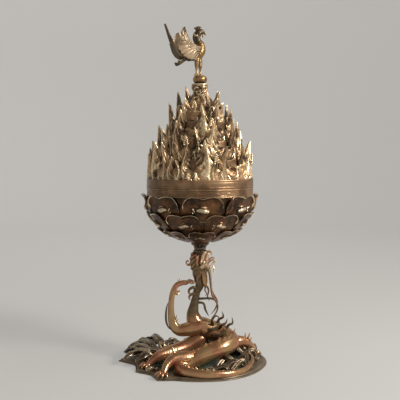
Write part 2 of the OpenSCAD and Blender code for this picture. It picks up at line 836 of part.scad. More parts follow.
base_plate();
wave_scrolls();
wave_crests();
dragon_body();
dragon_spines();
raised_foreleg();
planted_foreleg();
front_hindleg();
side_hindleg();
dragon_head();
dragon_jaw();
dragon_horns();
dragon_mane();
stem_rivet();
bowl_collar();
collar_rivet();
bowl_shell();
petals_lower();
petals_middle();
petals_upper();
lid_shell();
foothill_range();
middle_range();
upper_range();
summit_range();
rock_pillar();
finial_bead();
finial_wedge();
bird_legs();
bird_body();
bird_crest();
bird_near_wing();
bird_far_wing();
bird_tail();
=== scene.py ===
# %% [markdown]
# # A bronze hill censer
# A hill censer burns incense in a covered bowl. The lid is a mountain, and the smoke is its mist.
# This one stands on a dragon that rears up out of water and holds the bowl in its jaws.
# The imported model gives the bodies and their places, and this lesson dresses it, piece by piece.

# %% The frame
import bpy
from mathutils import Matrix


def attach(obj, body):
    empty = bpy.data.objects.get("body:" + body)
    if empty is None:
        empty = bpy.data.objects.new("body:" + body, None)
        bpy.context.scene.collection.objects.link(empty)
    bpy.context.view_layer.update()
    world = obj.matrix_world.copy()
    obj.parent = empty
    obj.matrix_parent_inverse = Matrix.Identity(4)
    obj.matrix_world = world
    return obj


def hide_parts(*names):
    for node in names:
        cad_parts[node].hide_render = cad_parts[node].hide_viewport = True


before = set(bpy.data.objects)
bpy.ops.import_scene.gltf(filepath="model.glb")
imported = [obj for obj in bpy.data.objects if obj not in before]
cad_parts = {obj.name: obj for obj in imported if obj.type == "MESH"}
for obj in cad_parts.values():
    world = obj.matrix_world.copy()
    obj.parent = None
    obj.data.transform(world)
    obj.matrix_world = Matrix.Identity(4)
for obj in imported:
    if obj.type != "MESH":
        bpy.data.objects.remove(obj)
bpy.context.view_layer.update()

# %% [markdown]
# ## Points, grids and castings
# Every piece here is a surface that two numbers run over: along it and across it, or up it and
# round it. One could model by hand, or stack modifiers on primitives. A formula on a whole grid of
# points is shorter, and one value then changes a hundred feathers at once. Lengths are in
# millimetres until a piece is cast.

# %% Whole arrays of points
import math

import bmesh
import bpy
import numpy as np

MM = 0.001
TURN = 2 * np.pi
UP = np.array([0.0, 0.0, 1.0])
TINY = 1e-12


def unit(vector):
    """The same direction with a length of 1."""
    return vector / np.maximum(np.linalg.norm(vector, axis=-1, keepdims=True), TINY)


def all_round(count):
    """A row of so many angles, evenly round a turn."""
    return np.arange(count)[None, :] * TURN / count


def polar(radius, angle, height):
    """Points from a radius, an angle round the axis and a height."""
    parts = np.broadcast_arrays(radius * np.cos(angle), radius * np.sin(angle), height)
    return np.stack(parts, -1)


def smooth(low, high, value):
    """0 below low, 1 above high, and an S-shaped rise between them. With low above high it falls."""
    share = np.clip((value - low) / (high - low), 0, 1)
    return share * share * (3 - 2 * share)


def spline(points, steps):
    """A smooth curve through the points: between two of them, a cubic that takes its slope at each
    from the points on either side. Extra columns, such as a radius, run along."""
    p = np.asarray(points, float)
    i = np.arange(len(p) - 1)[:, None]
    t = (np.arange(steps) / steps)[None, :, None]
    a, b, c, d = p[np.maximum(i - 1, 0)], p[i], p[i + 1], p[np.minimum(i + 2, len(p) - 1)]
    square, cube = 2 * a - 5 * b + 4 * c - d, 3 * b - a - 3 * c + d
    curve = 0.5 * (2 * b + (c - a) * t + square * t**2 + cube * t**3)
    return np.vstack([curve.reshape(-1, p.shape[1]), p[-1:]])


def run_along(line):
    """How far along a line each of its points lies."""
    return np.concatenate([[0], np.cumsum(np.linalg.norm(np.diff(line, axis=0), axis=1))])


def spaced(points, gap):
    """The same line with a point about every gap along it."""
    p = np.asarray(points, float)
    run = run_along(p[:, :3])
    even = np.linspace(0, run[-1], max(3, int(run[-1] / gap) + 1))
    return np.stack([np.interp(even, run, column) for column in p.T], -1)


def row_at(line, share):
    """The point of a line at a share of its count."""
    return line[int(share * (len(line) - 1))]


def crinkle(points, size, seed):
    """Uneven cast ground from -1 to 1: products of waves in turned directions, in three sets of which
    each is half the size of the last and about half as high."""
    draw = np.random.default_rng(seed)
    total = np.zeros(points.shape[:-1])
    for octave in range(3):
        way = unit(draw.normal(size=(3, 3)))
        phase = draw.random(3) * TURN
        waves = np.sin(points @ way.T * (TURN * 2**octave / size) + phase)
        total += waves.prod(-1) * 0.55**octave
    return np.clip(total * 1.3, -1, 1)


print("a curve through 3 points:", spline([[0, 0], [1, 1], [2, 0]], 2).round(2).tolist())

# %% [markdown]
# A casting gathers such grids and becomes one mesh. Its seams and poles are points that lie on each
# other, so they are joined. A hand that has rubbed bronze for years leaves ridges bright and hollows
# dark, and here the dark of the hollows is painted shade as well. The mesh knows where those are: a
# point that stands above the mean of its neighbours is on a ridge. That height is kept as an attribute
# of wear and painted light, and the finishes read it. A grid may add to it, for what was handled more
# or cleaned less, and in some places for painted shade or a painted highlight.

# %% From grids to a mesh
JOIN = 2e-6
ROUNDING = 1.6 * MM
SHARP = math.radians(62)


def wear_of(mesh):
    """Bend of the surface at each point, in units of one over the rounding, from -1 in a hollow to 1
    on a ridge, and spread a little over the neighbours."""
    count = len(mesh.vertices)
    co = np.empty(count * 3, np.float32)
    mesh.vertices.foreach_get("co", co)
    normal = np.empty(count * 3, np.float32)
    mesh.vertex_normals.foreach_get("vector", normal)
    edge = np.empty(len(mesh.edges) * 2, np.int32)
    mesh.edges.foreach_get("vertices", edge)
    co, normal, edge = co.reshape(-1, 3).astype(float), normal.reshape(-1, 3), edge.reshape(-1, 2)
    here = np.concatenate([edge[:, 0], edge[:, 1]])
    there = np.concatenate([edge[:, 1], edge[:, 0]])
    number = np.maximum(np.bincount(here, minlength=count), 1)

    def mean(values):
        """The mean of a value over the neighbours of each point."""
        return np.bincount(here, values[there], count) / number

    away = co - np.stack([mean(column) for column in co.T], -1)
    length = np.bincount(here, ((co[here] - co[there])**2).sum(1), count) / number
    bend = np.tanh(2 * (away * normal).sum(1) / np.maximum(length, TINY) * ROUNDING)
    for _ in range(2):
        bend = 0.5 * bend + 0.5 * mean(bend)
    return bend


class Casting:
    """Grids of points in millimetres that become one piece."""

    def __init__(self):
        self.points, self.faces, self.wear, self.count = [], [], [], 0

    def add(self, grid, ring=False, wear=0.0):
        """Adds a grid (rows, columns, xyz) or a stack of such grids. Seen from outside, columns run
        to the right and rows run up. With ring, the last column joins the first."""
        grid = np.asarray(grid, float)
        grid = grid.reshape((-1, *grid.shape[-3:]))
        copies, rows, cols = grid.shape[:3]
        column = np.arange(cols if ring else cols - 1)
        row = np.arange(rows - 1)[:, None] * cols
        after = (column + 1) % cols
        quads = np.stack([row + column, row + after, row + cols + after, row + cols + column], -1)
        first = self.count + np.arange(copies)[:, None, None] * rows * cols
        self.faces.append((quads.reshape(-1, 4) + first).reshape(-1, 4))
        self.points.append(grid.reshape(-1, 3))
        self.wear.append(np.broadcast_to(wear, grid.shape[:3]).ravel())
        self.count += copies * rows * cols
        return self

    def leaf(self, front, back, wear=0.0):
        """Adds a closed blade between a front and a back grid of an odd number of columns: once round
        both, then its two ends. The back keeps every second column, so at an end each of its points
        serves two of the front."""
        worn_and_painted_light = np.broadcast_to(wear, front.shape[:-1])
        around = np.concatenate([front, back[..., ::-2, :]], axis=-2)
        self.add(around, True, np.concatenate([worn_and_painted_light, worn_and_painted_light[..., ::-2]], axis=-1))
        ends = np.repeat(back[..., ::2, :], 2, axis=-2)[..., :-1, :]
        self.add(np.stack([ends[..., 0, :, :], front[..., 0, :, :]], axis=-3))
        return self.add(np.stack([front[..., -1, :, :], ends[..., -1, :, :]], axis=-3))

    def cast(self, name, body, slot, finish, *nodes, below=None):
        """Makes the mesh and its object, and says which body carries it and which nodes it stands for.
        Below may give a second finish and the height in millimetres under which it lies."""
        mesh = bpy.data.meshes.new(name)
        points = np.concatenate(self.points) * MM
        mesh.from_pydata(points.tolist(), [], np.concatenate(self.faces).tolist())
        worn_and_painted_light = mesh.attributes.new("wear", "FLOAT", "POINT")
        worn_and_painted_light.data.foreach_set("value", np.concatenate(self.wear).astype(np.float32))
        work = bmesh.new()
        work.from_mesh(mesh)
        bmesh.ops.remove_doubles(work, verts=work.verts, dist=JOIN)
        work.to_mesh(mesh)
        work.free()
        mesh.shade_smooth()
        mesh.set_sharp_from_angle(angle=SHARP)
        given = np.empty(len(mesh.vertices), np.float32)
        mesh.attributes["wear"].data.foreach_get("value", given)
        total = np.clip(wear_of(mesh) + given, -1, 1)
        mesh.attributes["wear"].data.foreach_set("value", total.astype(np.float32))
        piece = bpy.data.objects.new(name, mesh)
        bpy.context.scene.collection.objects.link(piece)
        piece.data.materials.append(finish)
        if below:
            piece.data.materials.append(below[0])
            centre = np.empty(len(mesh.polygons) * 3, np.float32)
            mesh.polygons.foreach_get("center", centre)
            lower = (centre[2::3] < below[1] * MM).astype(np.int32)
            mesh.polygons.foreach_set("material_index", lower)
        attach(piece, body)
        if nodes:
            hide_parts(*nodes)
        triangles = len(mesh.loops) - 2 * len(mesh.polygons)
        print(f"{name}: {triangles} triangles, wear mean {total.mean():.2f}")
        return piece


# %% [markdown]
# Three shapes come back all through the piece. A turned form is an outline carried round the axis. A
# tube is a ring carried along a line, and the ring must not twist on the way, so each step takes the
# last sideways direction and only takes out what has become lengthwise. A bead is a round lump.
# Blender's Screw modifier and a curve's bevel give such shapes too, but on a grid a relief is just one
# more sum.

# %% Turned forms, tubes and beads
def lathe(outline, cols, relief=None):
    """An outline of (radius, height) turned about the axis in so many columns. Relief is a function of
    angle and height that is added to the radius."""
    radius, angle, height = outline[:, :1], all_round(cols), outline[:, 1:]
    return polar(radius + (0 if relief is None else relief(angle, height)), angle, height)


def carried(path, first):
    """Two sideways directions at each point of a path that follow it without twist."""
    along = unit(np.gradient(path, axis=0))
    side = np.empty_like(along)
    last = np.asarray(first, float)
    for i, ahead in enumerate(along):
        last = unit(last - ahead * (last @ ahead))
        side[i] = last
    return side, np.cross(along, side)


def tube(line, around=16, first=(1.0, 0.0, 0.0), relief=None, flat=1.0, floor=None):
    """A closed tube along rows of (x, y, z, radius): rings of that radius, flattened crosswise, plus
    relief, a function of the run along, the angle round, the directions out and the radius. First is
    its sideways direction at the start, and what lies below the floor is lifted to it."""
    line = np.asarray(line, float)
    path, radius = line[:, :3], line[:, 3:4]
    side, cross = carried(path, first)
    angle = all_round(around)
    out = side[:, None] * np.cos(angle)[..., None] + cross[:, None] * np.sin(angle)[..., None] * flat
    run = run_along(path)[:, None]
    reach = radius + (0 if relief is None else relief(run, angle, out, radius))
    rings = path[:, None] + out * np.broadcast_to(reach, out.shape[:2])[..., None]
    start, end = (np.repeat(path[i][None, None], around, 1) for i in (0, -1))
    grid = np.concatenate([start, rings, end])
    if floor is not None:
        grid[..., 2] = np.maximum(grid[..., 2], floor)
    return grid


def bead(centre, size, around=14, rows=9):
    """Round beads: at each centre a sphere, whose three half sizes may differ."""
    centre = np.asarray(centre, float).reshape(-1, 1, 1, 3)
    size = np.broadcast_to(np.asarray(size, float).reshape(-1, 1, 1, 3), centre.shape)
    rise = np.linspace(-np.pi / 2, np.pi / 2, rows)[:, None]
    ball = polar(np.cos(rise), all_round(around), np.sin(rise))
    return centre + ball[None] * size


print("a tube of 2 rings:", tube([[0, 0, 0, 1], [0, 0, 5, 1]], 8).shape)

# %% [markdown]
# A caster draws grooves into the wax with one pull of a toothed comb, and presses scales into it with
# a punch. On a tube both are reliefs: functions that say how far each point stands out. Scales could
# be a bump map, but rubbed scales have bright rims, and the wear attribute needs real height for
# that. Each row is shifted by half a scale, and each scale rises towards its round end and drops.

# %% Reliefs of tubes
def grooved(count, depth):
    """Relief of lengthwise grooves, as many as count, each a share of the radius deep."""
    return lambda run, angle, out, radius: -depth * radius * (0.5 - 0.5 * np.cos(count * angle))**2


def slanted(length, slope, depth):
    """Relief of grooves that run aslant round a tube."""
    return lambda run, angle, out, radius: depth * np.cos(TURN * (run / length + slope * out[..., 0]))


def scaled(length, count, depth):
    """Relief of overlapping scales: along each, height grows to its rounded end and drops there."""
    def relief(run, angle, out, radius):
        row = np.floor(run / length)
        across = np.abs((angle * count / TURN + 0.5 * (row % 2)) % 1 - 0.5) * 2
        climb = (run / length - 0.42 * across**2) % 1
        return depth * (smooth(0, 0.75, climb) - smooth(0.8, 1, climb))
    return relief


def strand(points, around=14, steps=8, first=(0, 1, 0), grooves=3, depth=0.22, flat=1.0):
    """A grooved tube through a few points of (x, y, z, radius)."""
    return tube(spline(points, steps), around, first, grooved(grooves, depth), flat)


print("a strand:", strand([[0, 0, 0, 1], [0, 0, 5, 1]]).shape)

# %% [markdown]
# ## Finishes
# Old bronze is not one colour. The casting has a brown skin, red where copper shows, golden where it is
# rubbed and green where damp has stood. It is nearly black where smoke has settled, and in the hollows
# that black is painted shade as well. One function mixes all of them, and each finish gives it other
# colours. The maths is written as Python expressions: a small class holds a socket, and adding or
# multiplying two of them adds the nodes.

# %% Shader maths as expressions
class Wire:
    """The output of a shader node. Arithmetic on it adds Math nodes."""

    def __init__(self, tree, socket):
        self.tree, self.socket = tree, socket

    def node(self, kind, settings=None, sockets=None, out=0):
        """Adds a node: its settings first, then the values or wires of its sockets."""
        made = self.tree.nodes.new(kind)
        for key, value in (settings or {}).items():
            setattr(made, key, value)
        for key, value in (sockets or {}).items():
            if isinstance(value, Wire):
                self.tree.links.new(value.socket, made.inputs[key])
            else:
                made.inputs[key].default_value = value
        return Wire(self.tree, made.outputs[out]) if made.outputs else None

    def math(self, operation, a, b):
        """A Math node of two values or wires."""
        return self.node("ShaderNodeMath", {"operation": operation}, {0: a, 1: b})

    def __add__(self, other):
        return self.math("ADD", self, other)

    def __sub__(self, other):
        return self.math("SUBTRACT", self, other)

    def __rsub__(self, other):
        return self.math("SUBTRACT", other, self)

    def __mul__(self, other):
        return self.math("MULTIPLY", self, other)

    __radd__ = __add__
    __rmul__ = __mul__

    def rise(self, low, high):
        """0 below low and 1 above high, with a smooth rise between."""
        return self.node("ShaderNodeMapRange", {"interpolation_type": "SMOOTHSTEP"},
                         {"Value": self, "From Min": low, "From Max": high})

    def mix(self, a, b):
        """Colour a where this is 0 and colour b where it is 1."""
        return self.node("ShaderNodeMix", {"data_type": "RGBA"}, {0: self, 6: a, 7: b}, out=2)

    def noise(self, scale, detail=3.0, rough=0.55):
        """Noise at this place, which comes so often in a metre."""
        return self.node("ShaderNodeTexNoise", None,
                         {"Vector": self, "Scale": scale, "Detail": detail, "Roughness": rough})


def new_tree(name):
    """A material of that name and its empty node tree."""
    finish = bpy.data.materials.new(name)
    finish.use_nodes = True
    finish.node_tree.nodes.clear()
    return finish, finish.node_tree


def tone(red, green, blue):
    """A colour as a picture shows it, 0 to 255, turned into light."""
    share = np.array([red, green, blue]) / 255
    return (*np.where(share > 0.04045, ((share + 0.055) / 1.055)**2.4, share / 12.92).tolist(), 1.0)


print("mid grey as light:", round(tone(128, 128, 128)[0], 3))

# %% [markdown]
# Four noises of different size make the bronze uneven, and how often each comes in a metre is given
# here: blotches are about 30 mm across, patches 10, mottles 2 to 3, and grains half a millimetre. A
# painted picture could do it too, but noise has no seam and fits a piece of any shape.

# %% Bronze in nine finishes
BLOTCHES, PATCHES, MOTTLES, GRAINS = 34.0, 95.0, 420.0, 1900.0


def bronze(name, deep, skin, copper, rubbed, green, shade=None, rub=(0.16, 0.75), damp=0.5, rough=0.46,
           metal=0.8, speckle=1.0):
    """A bronze finish. Blotches mix the dark and the brown skin, patches show copper, ridges are
    rubbed bright, and hollows and some patches are green and dull. Grain and pits lie in the bump.
    Shade may give the dark blotches a colour of their own, rub is the wear from which metal starts to
    shine and that at which it does, and speckle scales what is small: mottling and pits."""
    finish, tree = new_tree(name)
    place = Wire(tree, tree.nodes.new("ShaderNodeTexCoord").outputs["Object"])
    wear = place.node("ShaderNodeAttribute", {"attribute_name": "wear"}, out=2)
    blotch = place.noise(BLOTCHES, 4.0)
    patch = place.noise(PATCHES, 3.0)
    mottle = place.noise(MOTTLES, 4.0, 0.65)
    grain = place.noise(GRAINS, 2.0)
    worn_and_painted_light = (wear + (mottle - 0.5) * (0.55 * speckle) + (patch - 0.5) * 0.35).rise(*rub)
    hollow = ((blotch - 0.5) * 0.5 - wear).rise(0.05, 0.55)
    stain = (hollow * 0.6 + (patch - 0.5) * 1.3 + (mottle - 0.5) * 0.6).rise(0.22, 0.62) * damp
    colour = blotch.rise(0.36, 0.66).mix(shade or deep, skin)
    colour = (patch - 0.5 + (mottle - 0.5) * 0.5).rise(0.02, 0.3).mix(colour, copper)
    # Hollows take the deep colour: smoke patina, and painted shade as well.
    colour = (hollow * 0.85).mix(colour, deep)
    colour = worn_and_painted_light.mix(colour, rubbed)
    colour = stain.mix(colour, green)
    height = grain * (0.35 * speckle) + mottle * (0.8 * speckle) + patch * 0.5
    bump = place.node("ShaderNodeBump", None, {"Strength": 0.32, "Distance": 0.0006, "Height": height})
    shader = place.node("ShaderNodeBsdfPrincipled", None, {
        "Base Color": colour,
        "Metallic": (1 - stain) * metal,
        "Roughness": mottle * 0.16 + patch * 0.1 + stain * 0.2 + (rough - 0.12) - worn_and_painted_light * 0.1,
        "Normal": bump,
    })
    shader.node("ShaderNodeOutputMaterial", None, {"Surface": shader})
    return finish


# The deep colours stand for the patina in hollows and also for painted shade there.
BOWL_BROWN = bronze(
    "bowl_brown", deep=tone(46, 33, 21), skin=tone(108, 74, 46), copper=tone(134, 84, 52),
    rubbed=tone(240, 220, 184), green=tone(76, 74, 56), rub=(0.3, 0.74), damp=0.3, rough=0.32, metal=0.62)
LID_GOLD = bronze(
    "lid_gold", deep=tone(40, 29, 19), skin=tone(188, 152, 112), copper=tone(196, 144, 108),
    rubbed=tone(252, 228, 186), green=tone(128, 124, 96), shade=tone(84, 65, 45),
    rub=(0.12, 0.7), damp=0.35, rough=0.34, metal=0.58)
BAND_GOLD = bronze(
    "band_gold", deep=tone(112, 86, 62), skin=tone(160, 128, 95), copper=tone(170, 122, 90),
    rubbed=tone(230, 200, 156), green=tone(112, 105, 82), rub=(0.2, 0.8), damp=0.25, rough=0.32, metal=0.6)
DRAGON_COPPER = bronze(
    "dragon_copper", deep=tone(46, 36, 23), skin=tone(186, 154, 110), copper=tone(214, 150, 120),
    rubbed=tone(252, 230, 198), green=tone(122, 116, 84), shade=tone(166, 114, 84),
    rub=(0.2, 0.85), damp=0.3, rough=0.2, metal=0.68, speckle=0.18)
WATER_BROWN = bronze(
    "water_brown", deep=tone(28, 24, 18), skin=tone(112, 94, 73), copper=tone(122, 93, 70),
    rubbed=tone(218, 196, 164), green=tone(84, 98, 76), shade=tone(58, 49, 38),
    rub=(0.14, 0.75), damp=0.5, rough=0.28, metal=0.6)
POOL_GREEN = bronze(
    "pool_green", deep=tone(50, 48, 38), skin=tone(136, 120, 98), copper=tone(132, 106, 84),
    rubbed=tone(196, 176, 146), green=tone(68, 98, 76), shade=tone(100, 88, 71),
    rub=(0.2, 0.8), damp=0.75, rough=0.4, metal=0.5)
GILT = bronze(
    "gilt", deep=tone(66, 50, 34), skin=tone(172, 136, 86), copper=tone(162, 114, 78),
    rubbed=tone(240, 210, 160), green=tone(104, 98, 70), rub=(0.15, 0.8), damp=0.3, rough=0.3, metal=0.65)
FEATHER_TAN = bronze(
    "feather_tan", deep=tone(96, 78, 60), skin=tone(204, 178, 144), copper=tone(204, 162, 132),
    rubbed=tone(246, 226, 194), green=tone(120, 116, 92), rub=(0.1, 0.7), damp=0.3, rough=0.38, metal=0.5)
SOOT = bronze(
    "soot", deep=tone(32, 27, 22), skin=tone(56, 45, 36), copper=tone(74, 52, 38),
    rubbed=tone(120, 98, 74), green=tone(64, 66, 56), damp=0.4, rough=0.55, metal=0.5)
print("finishes, with the model's own three:", len(bpy.data.materials))

# %% [markdown]
# ## The base
# The plate is water. Its edge is a circle with faint ripples, and at the left it runs out into pointed
# tongues. Rings spread over it from a few places, as if drops had just fallen, and each spot of the
# plate takes the rings of the drop that is nearest. They could be a bump map, but wear needs real
# height, so they are geometry that stands out by less than a millimetre. Damp has stood in the middle,
# which is greener.

# %% Base plate
PLATE_T, PLATE_R, EDGE_RIPPLE = 5.0, 124.0, 0.75
TONGUE_TURNS = np.radians([180.0, 211.0, 238.0, 152.0])
TONGUE_SHARES = np.array([1.0, 0.4, 0.5, 0.35])
TONGUE_LONG, TONGUE_HALF = 28.0, math.radians(13)
DROPS, DROPS_R, GOLDEN_TURN, RING_GAP, RING_H = 16, 110.0, 2.4, 6.4, 0.75
POOL_R = (112.0, 88.0)
RIM_SIDE = np.array([[2.0, 0], [0.6, 0], [0.1, 0.5], [0, 1.3], [0.3, 2.1], [1.0, 2.5], [2.6, 2.6], [3.6, 2.9],
                     [4.0, 3.6], [4.2, 4.6], [4.9, 5.3], [6.2, 5.7], [7.8, 5.6], [9.2, 5.0]])


def plate_edge(angle):
    """Radius of the edge: a circle, less ripples of a sixth of a turn, plus tongues that fall off as a
    power of the angle."""
    off = np.abs(angle[..., None] - TONGUE_TURNS) / TONGUE_HALF
    bulge = (TONGUE_SHARES * np.clip(1 - off, 0, 1)**1.4).max(-1)
    return PLATE_R + TONGUE_LONG * bulge - EDGE_RIPPLE * (1 - np.cos(6 * angle))


def drops(x, y):
    """Rings round the nearest of the drops, which are spread by the golden angle: a cosine of how far
    away it is, fading."""
    i = np.arange(DROPS)
    spot = polar(DROPS_R * np.sqrt((i + 0.5) / DROPS), GOLDEN_TURN * i, 0.0)
    away = np.hypot(x[..., None] - spot[:, 0], y[..., None] - spot[:, 1]).min(-1)
    return np.cos(TURN * away / RING_GAP) * np.exp(-away / 60)


turn = all_round(540)
edge = plate_edge(turn)
under = polar(edge * np.linspace(0, 0.98, 6)[:, None], turn, 0.0)
rim = polar(edge - RIM_SIDE[:, :1], turn, RIM_SIDE[:, 1:2])
inner = edge - RIM_SIDE[-1, 0]
reach = inner * np.linspace(1, 0, 76)[1:, None]
rings = RING_H * drops(reach * np.cos(turn), reach * np.sin(turn)) * smooth(0, 8, inner - reach)
top = polar(reach, turn, PLATE_T + rings)
pool = np.concatenate([np.zeros((len(under) + len(rim), turn.size)), -0.5 * smooth(*POOL_R, reach)])
plate = Casting().add(np.concatenate([under, rim, top]), True, pool)
plate.cast("base_plate_water", "stand", "dark_bronze", POOL_GREEN, "base_plate")

# %% [markdown]
# Waves roll up on the plate. They could be pulled up out of its surface, but a height can't roll over
# itself, and a tube can. A volute is a tube on a spiral that winds in, climbs and thins out, and four
# of them lie behind. Small waves roll over singly, each with a smaller one beside it, and they are
# placed one by one where the dragon leaves room. All have lengthwise grooves.

# %% Waves
WAVE_FLOOR = PLATE_T - 0.5
VOLUTE_TURNS = np.radians([44, 72, 100, 128])
VOLUTES_R, VOLUTE_R, VOLUTE_THICK = 90.0, 20.0, 6.6
CURLS = [
    (74, 26, 150, 1.2, 1.3), (96, 14, 60, 1.0, 1.1), (60, 34, 40, 1.1, 1.3), (76, -22, 20, 1.2, 1.2),
    (64, -46, 160, 1.1, 1.1), (82, -44, 75, 1.0, 1.0), (44, -68, 10, 1.1, 0.9), (26, -78, 340, 1.0, 0.7),
    (60, -68, 25, 1.0, 1.0), (100, -10, 110, 0.9, 0.9), (86, 44, 200, 1.1, 1.2), (40, 48, 70, 1.1, 1.3),
    (-20, -92, 190, 0.7, 0.6), (-70, -24, 195, 1.0, 0.9), (-66, -4, 170, 1.1, 1.2), (-46, 22, 165, 1.1, 1.4),
    (-96, -22, 200, 0.9, 0.7), (-80, -70, 215, 0.7, 0.6), (-40, -52, 205, 0.8, 0.8), (6, -86, 350, 0.8, 0.6),
    (104, 30, 80, 0.9, 1.1), (98, 48, 110, 0.9, 1.0), (34, -50, 30, 1.0, 0.8)]


def curl(x, y, heading, size, tall):
    """A wave that rises from the plate at (x, y), runs along its heading in degrees and rolls over,
    bowed sideways by a sine of its run."""
    way = math.radians(heading)
    run = size * np.array([-5, 3, 12, 20, 24, 21, 17.5])
    rise = size * tall * np.array([0, 6, 12, 13, 8, 4, 7.5])
    thick = size * np.array([5.2, 5.6, 5.2, 4.2, 3.2, 2.2, 0.7])
    bow = size * 3.0 * np.sin(run / size / 9)
    right = x + run * math.cos(way) - bow * math.sin(way)
    back = y + run * math.sin(way) + bow * math.cos(way)
    return np.stack([right, back, PLATE_T + rise, thick], -1)


scrolls = Casting()
s = np.linspace(0, 1, 90)
for place in VOLUTE_TURNS:
    wind = place + math.radians(200) + 3 * np.pi * s
    climb = PLATE_T + 6 * (0.8 + 2.2 * s)
    spiral = polar(VOLUTES_R, place, 0.0) + polar(VOLUTE_R * (1 - 0.76 * s), wind, climb)
    line = np.column_stack([spiral, VOLUTE_THICK * (1 - 0.55 * s)])
    scrolls.add(tube(line, 24, UP, grooved(6, 0.2), floor=WAVE_FLOOR), True)
for x, y, heading, size, tall in CURLS:
    worn_and_painted_light = 0.1 - 0.15 * smooth(-20, 30, x)
    large = spline(curl(x, y, heading, size, tall), 9)
    small = spline(curl(x + 5, y + 5, heading + 38, 0.62 * size, tall), 7)
    scrolls.add(tube(large, 26, UP, grooved(5, 0.34), floor=WAVE_FLOOR), True, worn_and_painted_light)
    scrolls.add(tube(small, 18, UP, grooved(3, 0.34), floor=WAVE_FLOOR), True, worn_and_painted_light)
scrolls.cast("wave_volutes", "stand", "bronze", WATER_BROWN, "wave_scrolls")

# %% [markdown]
# At the left, crests of water swirl out over the edge. Each is a flattened tube whose line is given as
# the run outwards, the turn in degrees, the rise and the thickness. It could be cut out of a sheet, but
# cast water is thick in the middle and thin at its edges. Three hooks of spray leave each crest.

# %% Wave crests
CREST = np.array([[0, 0, 2, 8], [9, -3, 16, 11], [25, -6, 22, 10.5], [42, -8, 15, 7], [56, -5, 6, 1]], float)
CREST_TURNS, CREST_IN = (146, 163, 180, 196), 86.0
HOOKS = ((0.28, 1, 1.15), (0.5, -1, 1.1), (0.72, 1, 0.8))


def hook(spot, out, side, size):
    """Spray that leaves a crest at a spot, outwards and to a side, and falls."""
    far = size * np.array([0, 5, 14, 24])[:, None]
    wide = size * np.array([0, 8, 14, 15])[:, None]
    rise = np.array([-2, 1, -2, -7 * size])[:, None]
    thick = size * np.array([4.4, 6.6, 5.0, 0.5])
    return np.column_stack([spot + far * out + wide * side + rise * UP, thick])


crests = Casting()
for place in CREST_TURNS:
    bend = np.radians(place + CREST[:, 1])
    points = polar(CREST_IN + CREST[:, 0], bend, PLATE_T + CREST[:, 2])
    line = spaced(spline(np.column_stack([points, CREST[:, 3]]), 12), 1.1)
    out, across = (polar(1.0, math.radians(place + quarter), 0.0) for quarter in (0, 90))
    crests.add(tube(line, 40, across, grooved(3, 0.14), flat=0.45, floor=WAVE_FLOOR), True, 0.22)
    for share, swing, size in HOOKS:
        spray = spline(hook(row_at(line, share)[:3], out, across * swing, size), 8)
        crests.add(tube(spray, 20, across, grooved(2, 0.14), flat=0.42, floor=WAVE_FLOOR), True, 0.1)
crests.cast("wave_crests_swirl", "stand", "bronze", WATER_BROWN, "wave_crests")

# %% [markdown]
# ## The dragon
# The dragon is one long tube. Its line falls from the nape to the chest, turns at the right, crosses
# the front, doubles back at the left and ends in a tail along the edge. A point of it is given on the
# neck as a share of its height, raised above the plate, or lying on the plate. It could be joined from
# shorter pieces, but the scales would break at each seam. They are nearly worn away, and the neck is
# darkened towards the bowl as painted shade under it.

# %% Body
DRAGON_FLOOR = PLATE_T - 0.4
CHEST_Z, NAPE_Z = 65.0, 150.0
BODY_STEPS = 40


def neck(share, x, y, r):
    """A point beside the neck, at a share of the height from chest to nape."""
    return [x, y, CHEST_Z + (NAPE_Z - CHEST_Z) * share, r]


def raised(x, y, z, r):
    """A point at a height above the plate."""
    return [x, y, PLATE_T + z, r]


def lying(x, y, r):
    """A point of a tube that lies on the plate and sinks into it a little."""
    return [x, y, PLATE_T + 0.88 * r, r]


BODY_POINTS = [
    neck(0.96, 0, 0, 8.5), neck(0.88, -2, 0, 7.6), neck(0.8, -5.5, 0, 7), neck(0.66, -8, 0, 6.8),
    neck(0.48, -11, 1, 8.4), neck(0.28, -13, 2, 12), neck(0.08, -7, 3, 17), raised(8, 4, 57, 19.5),
    raised(30, 4, 50, 18.5), raised(48, -6, 43, 17.5), raised(56, -24, 38, 16.5), raised(40, -45, 34, 16),
    raised(8, -58, 25, 15.5), lying(-20, -67, 14), lying(-36, -81, 11.5), lying(-30, -99, 9.4),
    lying(-10, -111, 8), lying(16, -115, 7), lying(46, -108, 6), lying(74, -89, 5), raised(90, -64, 9, 3.8),
    raised(94, -46, 16, 2.6), raised(88, -34, 22, 1.2)]
body_line = np.vstack([[neck(1.0, 0, 0, 8.5)], spline(BODY_POINTS, BODY_STEPS)])
body_tube = tube(spaced(body_line, 0.95), 80, (1, 0, 0), scaled(5.2, 20, 0.12), floor=DRAGON_FLOOR)
# The neck, from above the chest up to the head, is darkened as painted shade under the bowl.
body = Casting().add(body_tube, True, -0.5 * smooth(66, 100, body_tube[..., 2]))
body.cast("dragon_trunk", "stand", "bronze", DRAGON_COPPER, "dragon_body")

# %% [markdown]
# Spines stand along two parts of the back, three for each stretch between two given points. Each is a
# thorn: seen from the side its length shrinks as it rises and its middle sweeps backwards, and cut
# across it is a thin lens. They could be cones, but a blade has the edge that hands rub bright.

# %% Spines
SPINE_PLACES = np.r_[31:40, 47:54]
SPINE_H, SPINE_HALF, SPINE_THICK = 11.0, 6.0, 2.2


def of_each(vector):
    """A vector for each spine, made ready to spread over the rows and columns of its grid."""
    return vector[:, None, None, :]


